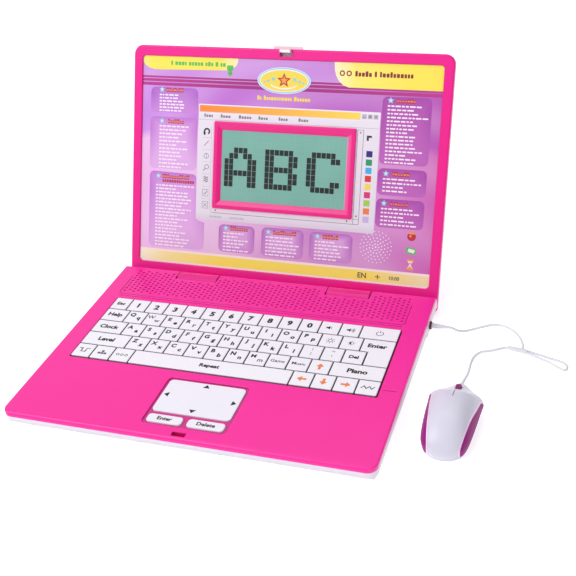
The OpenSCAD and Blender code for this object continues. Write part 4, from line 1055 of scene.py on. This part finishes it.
# marks where the tabs and the line under the badge carry words on such toys
marks, x = [], 41.0
while x < 100.5:
    w = 1.8 + 1.3 * rnd()
    marks.append(rrect(x, 205.2, min(x + w, 101), 205.2 + (3.6 if rnd() > 0.3 else 4.4), 0.5, 2))
    x += w + 0.6
    if rnd() > 0.82:
        x += 1.8
art("tab_marks", 4, GREEN, marks)
art("tab_icon", 4, GREEN, [rrect(102.0, 202.2, 109.0, 206.8, 1.0, 3), rrect(103.4, 198.4, 107.4, 203.0, 0.9, 3), [(102.4, 199.4), (108.4, 199.4), (105.4, 195.6)]])
marks, x = [], 234.5
for word in (5, 1, 10):
    for k in range(word):
        w = 1.9 + 1.2 * rnd()
        marks.append(rrect(x, 200.8, x + w, 200.8 + (5.2 if k in (0, 3) else 3.8), 0.6, 2))
        x += w + 0.75
    x += 2.2
art("title_marks", 4, MAROON, marks)
sh = Shape()
for cx in (221.6, 228.4):
    sh.ringband(cx - 165, 203.4, 1.5, 2.7, Z(4)[0], Z(4)[1], n=20)
piece("print_title_rings", sh, LID, MAROON, "lid", (), 40, False)
marks, x = [], 135.5
for word in (2, 11, 6):
    for k in range(word):
        w = 1.6 + 1.2 * rnd()
        marks.append(rrect(x, 174.6, x + w, 174.6 + (4.2 if k == 0 else 3.0), 0.5, 2))
        x += w + 0.55
    x += 1.7
art("subtitle", 3, SUNNY, marks)

# the printed paint window around the screen
win = Shape()
win.loft([[(x - 165, s, z) for x, s in o] for o, z in ((rrect(72.8, 50.0, 262.0, 167.8, 1.0, 3), PANEL_Z - 0.1), (rrect(72.8, 50.0, 262.0, 167.8, 1.0, 3), PANEL_Z + 0.045),
          (rrect(93.0, 65.0, 237.0, 149.0, 1.0, 3), PANEL_Z + 0.045), (rrect(93.0, 65.0, 237.0, 149.0, 1.0, 3), PANEL_Z - 0.1))], loop=True)
piece("print_window", win, LID, WIN, "lid", (), 40, False)
art("window_title", 4, TITLE, [rrect(73.9, 160.0, 242.0, 166.6, 0.4, 2)])
art("window_buttons", 4, GREYL, [rrect(243.6, 161.0, 248.2, 165.4, 0.5, 2), rrect(249.4, 161.0, 254.0, 165.4, 0.5, 2), rrect(255.2, 161.0, 259.8, 165.4, 0.5, 2)])
art("window_button_marks", 5, GREY, [rrect(244.6, 161.8, 247.2, 162.4, 0.1, 1), rrect(250.6, 162.2, 252.8, 164.3, 0.3, 1), star(257.5, 163.2, 1.5, 0.35, 4, 45)])
marks = []
for x0, n in ((79.0, 4), (97.0, 4), (116.5, 5), (137.5, 4), (158.8, 4), (179.5, 4)):
    x = x0
    for k in range(n):
        w = 1.5 + 0.9 * rnd()
        marks.append(rrect(x, 154.9, x + w, 154.9 + (3.3 if k == 0 else 2.4), 0.4, 2))
        x += w + 0.6
art("menu", 4, GREY, marks)
art("menu_line", 4, GREYL, [rrect(73.5, 152.0, 261.5, 152.4, 0.1, 1), rrect(89.4, 56.4, 89.8, 150.8, 0.1, 1)])
# scroll bars and status line
art("scroll_edges", 4, GREY, [rrect(240.1, 58.4, 240.6, 150.4, 0.1, 1), rrect(245.9, 58.4, 246.4, 150.4, 0.1, 1), rrect(90.4, 57.6, 246.4, 58.1, 0.1, 1),
                              rrect(240.1, 62.6, 246.4, 63.0, 0.1, 1), rrect(240.1, 150.0, 246.4, 150.4, 0.1, 1)])
art("scroll_marks", 5, BLACK, [[(242.2, 147.0), (244.4, 147.0), (243.3, 148.6)], [(242.2, 66.6), (244.4, 66.6), (243.3, 65.0)], [(94.6, 59.4), (94.6, 61.6), (93.0, 60.5)], [(233.6, 59.4), (233.6, 61.6), (235.2, 60.5)]])
marks = []
for x0, n in ((88.0, 7), (110.0, 8)):
    x = x0
    for k in range(n):
        w = 1.1 + 0.8 * rnd()
        marks.append(rrect(x, 52.9, x + w, 54.7, 0.3, 1))
        x += w + 0.6
art("status", 4, GREYL, marks)

# tool column
sh = Shape()
z0, z1 = Z(5)
TX = 82.4 - 165
sh.ringband(TX, 140.4, 1.8, 3.5, z0, z1, -60, 200, 18)
sh.prism([(TX - 3.8, 139.6), (TX - 1.4, 139.6), (TX - 1.6, 136.6), (TX - 3.6, 137.0)], z0, z1)
piece("print_tool_hook", sh, LID, BLACK, "lid", (), 40, False)
sh = Shape()
sh.stroke([(TX - 2.6, 125.6), (TX + 2.2, 131.2)], 0.7, z0, z1)
sh.ringband(TX, 115.6, 2.3, 2.8, z0, z1, n=20)
sh.box(TX - 0.25, 112.9, TX + 0.25, 118.3, z0, z1)
sh.ringband(TX + 0.8, 104.4, 1.9, 2.5, z0, z1, n=18)
sh.stroke([(TX - 0.8, 102.8), (TX - 3.0, 100.2)], 0.8, z0, z1)
for k in range(3):
    sh.stroke([(TX - 2.6, 92.8 + 2.0 * k - 3.4), (TX - 0.6, 94.0 + 2.0 * k - 3.4), (TX + 0.6, 92.2 + 2.0 * k - 3.4), (TX + 2.6, 93.6 + 2.0 * k - 3.4)], 0.8, z0, z1)
for s in (77.8, 65.3):
    for a, b, c, d in ((TX - 3.3, s - 3.6, TX + 3.3, s - 3.2), (TX - 3.3, s + 3.2, TX + 3.3, s + 3.6), (TX - 3.3, s - 3.2, TX - 2.9, s + 3.2), (TX + 2.9, s - 3.2, TX + 3.3, s + 3.2)):
        sh.box(a, b, c, d, z0, z1)
sh.stroke([(TX - 1.8, 77.6), (TX - 0.6, 76.2), (TX + 2.0, 79.8)], 0.6, z0, z1)
sh.stroke([(TX - 2.0, 63.3), (TX + 2.0, 67.3)], 0.5, z0, z1)
sh.stroke([(TX - 2.0, 67.3), (TX + 2.0, 63.3)], 0.5, z0 , z1 + 0.004)
piece("print_tools", sh, LID, GREY, "lid", (), 40, False)
art("tool_cells", 4, GREYL, [rrect(78.2, s - 0.15, 87.4, s + 0.15, 0.1, 1) for s in (134.2, 121.9, 109.6, 97.2, 84.3, 71.5)] + [rrect(87.3, 60.0, 87.6, 146.0, 0.1, 1)])

SW = [(127.5, (44, 24, 120), "navy"), (119.3, (22, 152, 104), "emerald"), (111.4, (60, 176, 232), "sky"), (103.5, (222, 42, 46), "red"), (95.5, (250, 218, 92), "yellow"),
      (87.6, (220, 36, 120), "crimson"), (79.6, (168, 208, 84), "lime"), (71.6, (238, 128, 66), "orange"), (63.5, (202, 184, 232), "lavender")]
for s, rgb, nm in SW:
    art("swatch_" + nm, 4, ink("swatch_" + nm, rgb), [rrect(250.0, s - 3.0, 256.2, s + 3.0, 0.3, 1)])
art("corner_mark", 4, BLACK, [[(249.6, 145.2), (254.6, 145.2), (254.6, 143.2), (251.7, 143.2), (251.7, 140.2), (249.6, 140.2)]])

# burst of dots and the three small pictures
dots = [circle(265.0, 37.2, 0.9, 12)]
for k, (r, n, d) in enumerate(((3.2, 7, 0.75), (6.2, 12, 0.75), (9.2, 16, 0.7), (12.4, 20, 0.65), (15.6, 24, 0.6))):
    for i in range(n):
        a = 2 * math.pi * (i + 0.37 * k) / n
        dots.append(circle(265.0 + r * math.cos(a), 37.2 + r * math.sin(a), d, 10))
art("dot_burst", 3, PALE, dots)
art("ball", 3, RED, [circle(300.0, 50.6, 4.3, 22)])
art("ball_cap", 4, AMBER, [[(297.0, 53.0), (303.2, 53.0), (301.8, 56.0), (300.0, 54.4), (298.4, 56.0)]])
art("ball_glint", 4, AMBER, [circle(298.8, 51.0, 1.1, 12)])
art("card", 3, GREEN, [[(294.6, 34.4), (304.2, 32.4), (306.0, 38.6), (296.4, 40.6)]])
art("card_inner", 4, PALE, [[(297.0, 35.6), (303.2, 34.3), (304.2, 37.6), (298.0, 38.9)]])
art("glass_frame", 3, AMBER, [rrect(296.6, 26.4, 304.0, 28.2, 0.4, 2), rrect(296.6, 17.6, 304.0, 19.4, 0.4, 2)])
art("glass_body", 4, PALE, [[(297.6, 26.3), (303.0, 26.3), (300.9, 22.9), (303.0, 19.5), (297.6, 19.5), (299.7, 22.9)]])
art("glass_sand", 5, AMBER, [[(298.6, 25.0), (302.0, 25.0), (300.3, 22.9)], [(298.2, 19.6), (302.4, 19.6), (300.3, 21.6)]])
sh = Shape()
zz = (Z(4)[0], Z(4)[1])
write(sh, "EN", 252.7 - 165, 7.9, 7.4, *zz, bold=0.02)
write(sh, "10:00", 285.5 - 165, 7.7, 5.0, *zz, bold=0.02)
sh.box(266.2 - 165, 7.4, 271.2 - 165, 8.2, *zz)
sh.box(268.3 - 165, 5.5, 269.1 - 165, 7.3, *zz)
sh.box(268.3 - 165, 8.3, 269.1 - 165, 10.1, *zz)
piece("print_clock", sh, LID, ink("print_clock_grey", (70, 62, 66)), "lid", (), 40, False)

# characters on the screen
PAT = {"A": ["..XXX..", ".XX.XX.", "XX...XX", "XX...XX", "XXXXXXX", "XX...XX", "XX...XX"],
       "B": ["XXXXXX.", "XX...XX", "XX...XX", "XXXXXX.", "XX...XX", "XX...XX", "XXXXXX."],
       "C": [".XXXXX.", "XX...XX", "XX.....", "XX.....", "XX.....", "XX...XX", ".XXXXX."]}
sh = Shape()
PXW, PXH = 4.97, 5.714
for ch, x0 in (("A", 102.4), ("B", 145.9), ("C", 189.7)):
    for r, row in enumerate(PAT[ch]):
        for c, k in enumerate(row):
            if k == "X":
                x, s = x0 + c * PXW - 165, 126.0 - (r + 1) * PXH
                sh.box(x + 0.26, s + 0.12, x + PXW - 0.26, s + PXH - 0.12, -1.66, -1.585)
piece("screen_cells", sh, LID, plastic("lcd_cell", (14, 24, 27), rough=0.5, grain=0.000002), "lid", (), 40, False)

# ------------------------------------------------------------------ mouse
PLAN = [(-48.5, 0.06), (-48, 0.28), (-47, 0.4), (-45, 0.54), (-42, 0.71), (-38, 0.81), (-32, 0.885), (-22, 0.94), (-8, 0.985),
        (2, 1.01), (10, 1.02), (16, 1.045), (19.5, 1.055), (22.5, 1.02), (28, 0.82), (34, 0.59), (40, 0.42), (45, 0.26), (48.5, 0.1)]
CROWN = [(-48.5, 0.18), (-47, 0.304), (-44.5, 0.437), (-41, 0.58), (-36, 0.715), (-29, 0.86), (-20, 0.965), (-9, 1), (2, 0.99),
         (12, 0.925), (18, 0.805), (22, 0.71), (26, 0.61), (30, 0.525), (34, 0.455), (38, 0.385), (44, 0.305), (48.5, 0.255)]
GRIPLINE = [(-50, 11.6), (-45, 12.1), (-42, 12.6), (-38, 13.4), (-33, 14.2), (-26, 15.2), (-20, 15.8), (-10, 17), (0, 18.3), (8, 19), (13, 19.4), (16, 20), (19, 21), (21.5, 22.6)]
SKEW = 0.8


def smooth_table(tab, v):
    """Monotone cubic through a table."""
    n = len(tab)
    if v <= tab[0][0]:
        return tab[0][1]
    if v >= tab[-1][0]:
        return tab[-1][1]
    i = max(k for k in range(n - 1) if tab[k][0] <= v)

    def sl(k):
        return (tab[k + 1][1] - tab[k][1]) / (tab[k + 1][0] - tab[k][0])

    def tan(k):
        if k == 0:
            return sl(0)
        if k == n - 1:
            return sl(n - 2)
        a, b = sl(k - 1), sl(k)
        return 0.0 if a * b <= 0 else 2 * a * b / (a + b)
    h = tab[i + 1][0] - tab[i][0]
    t = (v - tab[i][0]) / h
    return ((2 * t ** 3 - 3 * t * t + 1) * tab[i][1] + (t ** 3 - 2 * t * t + t) * h * tan(i)
            + (-2 * t ** 3 + 3 * t * t) * tab[i + 1][1] + (t ** 3 - t * t) * h * tan(i + 1))


def mouse_loft(inset, z0, grow=0.0):
    st = [-48.5, -48.25, -48, -47.5, -47, -46, -45, -43.5, -42, -40, -38, -35.5, -33, -30, -27, -24, -20, -16, -12, -8, -4, 0, 4, 8, 11, 13.5, 16, 18, 19.5, 21, 22.5, 25, 27.5, 30, 33, 36, 39, 42, 44.5, 46.5, 48, 48.5]
    n = 34
    k = (97 - 2 * inset) / 97
    rings = []
    for v in st:
        w = max(22.2 * smooth_table(PLAN, v) - inset, 0.3)
        t = max(28.9 * smooth_table(CROWN, v) - inset, z0 + 0.6)
        b = z0 + min(5, 0.5 * (t - z0))
        ring = [(0.95 * w, v * k, z0)]
        for i in range(n + 1):
            a = math.pi * i / n
            c = math.cos(a)
            ring.append((w * math.copysign(abs(c) ** 0.82, c) if abs(c) > 1e-9 else 0.0, v * k, b + (t - b) * math.sin(a)))
        ring.append((-0.95 * w, v * k, z0))
        rings.append(ring[::-1])
    return Shape().loft(rings)


def zone(d):
    step = -0.25 if d < 0 else 0.2
    right = [(x + d + SKEW, v - (step if v > 20 else 0)) for v, x in GRIPLINE]
    left = [(2 * SKEW - x, v) for x, v in right[::-1]]
    return right + [(30, 21.6 - step), (30, 60), (-30, 60), (-30, 21.6 - step)] + left


def skin(name):
    o = new_object(name, mouse_loft(0, 3.1), MOUSE)
    tidy(o, 1e-7)
    inner = new_object("inner", mouse_loft(1.7, 2.5), MOUSE)
    tidy(inner, 1e-7)
    return cut(o, ("DIFFERENCE", inner, MOUSE))


WZ = Shape().prism(zone(-0.1), -1, 60)
rear_zone = Shape().box(-40, -60, 40, 2.05, -1, 60)
skirt_zone = Shape().box(-40, 2.05, 40, 60, -1, 8.6)
o = cut(skin("mouse_shell"), ("INTERSECT", WZ, MOUSE))
keep = new_object("keep", rear_zone, MOUSE)
cut(keep, ("UNION", Shape().box(-40, 1, 40, 60, -1, 9.3), MOUSE), ("UNION", Shape().box(-40, 38.15, 40, 60, -1.5, 61), MOUSE))
cut(o, ("INTERSECT", keep, MOUSE))
finish_piece(o, MWHITE, "mouse", ("mouse_top_shell",), 40)
for sgn, nm in ((-1, "left"), (1, "right")):
    o = cut(skin(f"mouse_{nm}_finger"), ("INTERSECT", WZ, MOUSE))
    # the two fingers meet flush with the crown: a fine slit between them, none behind
    x0, x1 = (0.3, 40) if sgn > 0 else (-40, -0.3)
    cut(o, ("INTERSECT", Shape().box(x0, 2.15, x1, 38.0, 9.45, 60), MOUSE), ("DIFFERENCE", Shape().pad(-2.9, 22.4, 2.9, 42, 1.4, -1, 60, 0.02, 5, 1), MOUSE))
    finish_piece(o, MWHITE, f"mouse_{nm}_button", (f"mouse_{nm}_button",), 40)
o = cut(skin("mouse_grips"), ("DIFFERENCE", Shape().prism(zone(1.25), -2, 62), MOUSE))
finish_piece(o, GRIP, "mouse", ("mouse_side_grips",), 40)
# the pale lip between crown and grip
o = cut(skin("mouse_lip"), ("DIFFERENCE", Shape().prism(zone(0.0), -2, 62), MOUSE), ("INTERSECT", Shape().prism(zone(1.2), -1.5, 61), MOUSE))
finish_piece(o, GRIPEDGE, "mouse", (), 40)
wh = Shape()
rim = []
for x, r in ((-2.2, 6.0), (-2.2, 7.0), (-1.9, 7.35), (-1.2, 7.5), (1.2, 7.5), (1.9, 7.35), (2.2, 7.0), (2.2, 6.0)):
    rim.append([(x, 29.5 + (r - (0.45 if k % 4 < 2 and r > 7.3 else 0)) * math.cos(2 * math.pi * k / 96), 10.9 + (r - (0.45 if k % 4 < 2 and r > 7.3 else 0)) * math.sin(2 * math.pi * k / 96)) for k in range(96)])
wh.loft(rim)
for sx in (-1, 1):
    wh.lathe_x([(min(sx * 2.1, sx * 5.7), 1.1), (max(sx * 2.1, sx * 5.7), 1.1)], 29.5, 10.9, 20)
piece("scroll_wheel", wh, MOUSE, WHEEL, "mouse_wheel", ("mouse_wheel",), 40)

# ------------------------------------------------------------------ plug and cable
def catmull(p, k):
    out = []
    for i in range(len(p) - 1):
        a, b, c, d = (Vector(p[max(i - 1, 0)]), Vector(p[i]), Vector(p[i + 1]), Vector(p[min(i + 2, len(p) - 1)]))
        for j in range(k):
            t = j / k
            out.append(0.5 * ((2 * b) + (c - a) * t + (2 * a - 5 * b + 4 * c - d) * t * t + (3 * b - a - 3 * c + d) * t ** 3))
    out.append(Vector(p[-1]))
    return out


def sweep(points, radius, n=12, flat=None):
    """A closed tube; radius may be a function of the share of the length."""
    rings, m = [], len(points)
    for i, p in enumerate(points):
        t = (points[min(i + 1, m - 1)] - points[max(i - 1, 0)]).normalized()
        s = t.cross(Vector((0, 0, 1))).normalized()
        u = s.cross(t)
        r = radius(i / (m - 1)) if callable(radius) else radius
        ring = []
        for k in range(n):
            a = 2 * math.pi * k / n
            w = r * math.cos(a) * s + r * math.sin(a) * u * (flat or 1.0)
            ring.append(tuple(p + w))
        rings.append(ring)
    sh = Shape().loft([r[::-1] for r in rings])
    return sh


LIE = 1.6
plug = Shape()
plug.lathe_x([(166.9, 1.6), (166.92, 2.5), (167.2, 2.6), (169.6, 2.5), (170.0, 2.1), (170.8, 2.1), (171.1, 2.4), (172.2, 2.35), (172.5, 2.0), (173.3, 2.0), (173.6, 2.25), (174.6, 2.2), (174.9, 1.85),
              (175.7, 1.85), (176.0, 2.05), (177.0, 2.0), (177.3, 1.7), (179.0, 1.6), (180.6, 1.45)], 219, 12.5, 32)
collar = Shape().lathe_x([(163.6, 2.2), (163.62, 3.6), (164.0, 3.9), (166.4, 3.9), (166.95, 3.4), (167.0, 1.5)], 219, 12.5, 32)
piece("plug_collar", collar, ROW, plastic("collar_plum", (96, 10, 52), rough=0.4), "plug", (), 35)
piece("plug_body", plug, ROW, CABLE, "plug", ("mouse_plug",), 35)
tip = Shape().lathe_x([(151.5, 0.6), (152.2, 1.3), (153.2, 1.72), (154.6, 1.2), (155.2, 1.72), (158.2, 1.72), (158.3, 1.6), (158.8, 1.6), (158.9, 1.72), (163.7, 1.72)], 219, 12.5, 24)
piece("plug_tip", tip, ROW, PIN, "plug", (), 35)

lead = catmull([(180.2, 219, 12.5), (183.2, 219.5, 12.2), (186, 220.6, 10.8), (191, 224, 6.4), (197, 230.5, 2.6), (204, 237, LIE), (212, 242.5, LIE), (221, 247.6, LIE), (231, 247.2, LIE), (240, 241, LIE),
                (247, 231.4, LIE), (250.6, 222, LIE), (251.8, 216.2, LIE + 0.1), (251.2, 212.6, LIE + 0.3)], 6)
ob = tidy(new_object("cable_to_plug", sweep(lead, 1.25), ROW), 1e-8)
ob.data.materials.append(CABLE)
ob.data.shade_smooth()
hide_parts("cable_lead")
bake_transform(ob)

tail = catmull([(240.2, 211.4, LIE + 0.2), (236.6, 211.8, LIE), (233, 210.3, LIE), (228, 207, LIE), (222, 203.6, LIE), (215.5, 200.6, LIE), (210.6, 192, LIE), (209.2, 180, LIE), (209.4, 166, 2.6),
                (208.3, 152.4, 4.9), (207.4, 146.0, 5.3), (207.25, 142.0, 5.4)], 6)
ob = tidy(new_object("cable_to_mouse", sweep(tail, lambda t: 1.25 + 0.6 * max(0, (t - 0.86) / 0.14)), ROW), 1e-8)
ob.data.materials.append(CABLE)
ob.data.shade_smooth()
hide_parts("cable_tail")
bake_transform(ob)

loop = catmull([(252.0, 210.9, LIE), (257.5, 210.6, LIE), (262, 209, LIE), (268.6, 206.8, LIE), (277, 203.8, LIE), (287, 200.4, LIE), (291.6, 196.6, LIE), (292.9, 191.6, LIE), (291.0, 188.4, LIE),
                (286.6, 190.4, LIE), (278, 196.8, LIE), (269, 201.4, LIE), (262, 204.6, LIE), (257.2, 206.9, LIE), (252.4, 208.2, LIE)], 6)
piece("cable_loop", sweep(loop, 1.25), ROW, CABLE, "cable_coil", ("cable_bundle",), 60)
# a soft sleeve gathers the three strands
sl = []
A, B = Vector((237.9, 212.0, 2.1)), Vector((256.6, 209.2, 2.1))
d = (B - A).normalized()
s = d.cross(Vector((0, 0, 1))).normalized()
for i in range(17):
    t = i / 16
    p = A + (B - A) * t
    k = min(1.0, math.sin(math.pi * min(max(t * 1.0, 0.0), 1.0)) ** 0.35 if 0 < t < 1 else 0.0)
    w = 1.55 + 1.55 * k * (0.75 + 0.25 * t) + 0.10 * math.sin(t * 19)
    h = 1.5 + 0.5 * k
    sl.append([tuple(p + s * (w * math.cos(2 * math.pi * q / 20)) + Vector((0, 0, h * math.sin(2 * math.pi * q / 20)))) for q in range(20)][::-1])
piece("cable_sleeve", Shape().loft(sl), ROW, CABLE, "cable_coil", ("cable_tie",), 60)

# ------------------------------------------------------------------ floor, light, camera
fl = Shape()
fl.v = [(-4000, -4000, 0), (4000, -4000, 0), (4000, 4000, 0), (-4000, 4000, 0)]
fl.f = [(0, 1, 2, 3)]
floor = new_object("floor", fl, Matrix.Scale(0.001, 4) @ Matrix.Translation((0, 0, -0.05)))
m, nt, p = base_mat("floor_paper")
p.inputs["Base Color"].default_value = (0.9, 0.9, 0.9, 1)
p.inputs["Roughness"].default_value = 0.9
p.inputs["Emission Color"].default_value = (1, 1, 1, 1)
p.inputs["Emission Strength"].default_value = 0.5
floor.data.materials.append(m)

world = bpy.data.worlds.new("studio")
bpy.context.scene.world = world
world.use_nodes = True
wt = world.node_tree
sepw = wt.nodes.new("ShaderNodeSeparateXYZ")
wt.links.new(wt.nodes.new("ShaderNodeTexCoord").outputs["Generated"], sepw.inputs[0])
# the studio is darker on the object's right, so its right flanks read
side = mathn(wt, "MULTIPLY_ADD", sepw.outputs[0], -0.62, 0.56, clamp=True)
wt.links.new(ramp(wt, side, [(0.0, (0.12, 0.12, 0.13, 1)), (0.35, (0.3, 0.3, 0.31, 1)), (0.6, (0.62, 0.62, 0.62, 1)), (1.0, (0.8, 0.8, 0.8, 1))]), wt.nodes["Background"].inputs[0])
wt.nodes["Background"].inputs[1].default_value = 1.05


def area(name, loc, target, size, watts, color=(1, 1, 1)):
    li = bpy.data.lights.new(name, "AREA")
    li.shape, li.size, li.size_y = "RECTANGLE", size[0], size[1]
    li.energy, li.color = watts, color
    ob = bpy.data.objects.new(name, li)
    bpy.context.scene.collection.objects.link(ob)
    ob.location = loc
    ob.rotation_euler = (Vector(target) - Vector(loc)).to_track_quat("-Z", "Y").to_euler()
    return ob


area("key", (-0.9, -0.9, 1.5), (0, 0, 0.05), (1.3, 1.0), 13.1)
area("fill", (1.3, -0.6, 0.9), (0, 0, 0.08), (1.2, 1.0), 2.2)
area("top", (0.1, 0.5, 1.6), (0, 0, 0), (1.6, 1.2), 6.5)

cam = bpy.data.cameras.new("camera")
cam.sensor_width = 36
cam.lens = 36 * 987.84 / 576
cam.clip_start, cam.clip_end = 0.05, 20
co = bpy.data.objects.new("camera", cam)
bpy.context.scene.collection.objects.link(co)
R = Matrix(((0.95063, -0.10054, 0.29358), (0.30197, 0.51768, -0.80052), (-0.07149, 0.84965, 0.52248)))
co.matrix_world = Matrix.Translation((0.242939, -0.726045, 0.538572)) @ R.to_4x4()
bpy.context.scene.camera = co
bpy.context.scene.view_settings.view_transform = "Standard"
bpy.context.scene.view_settings.look = "None"
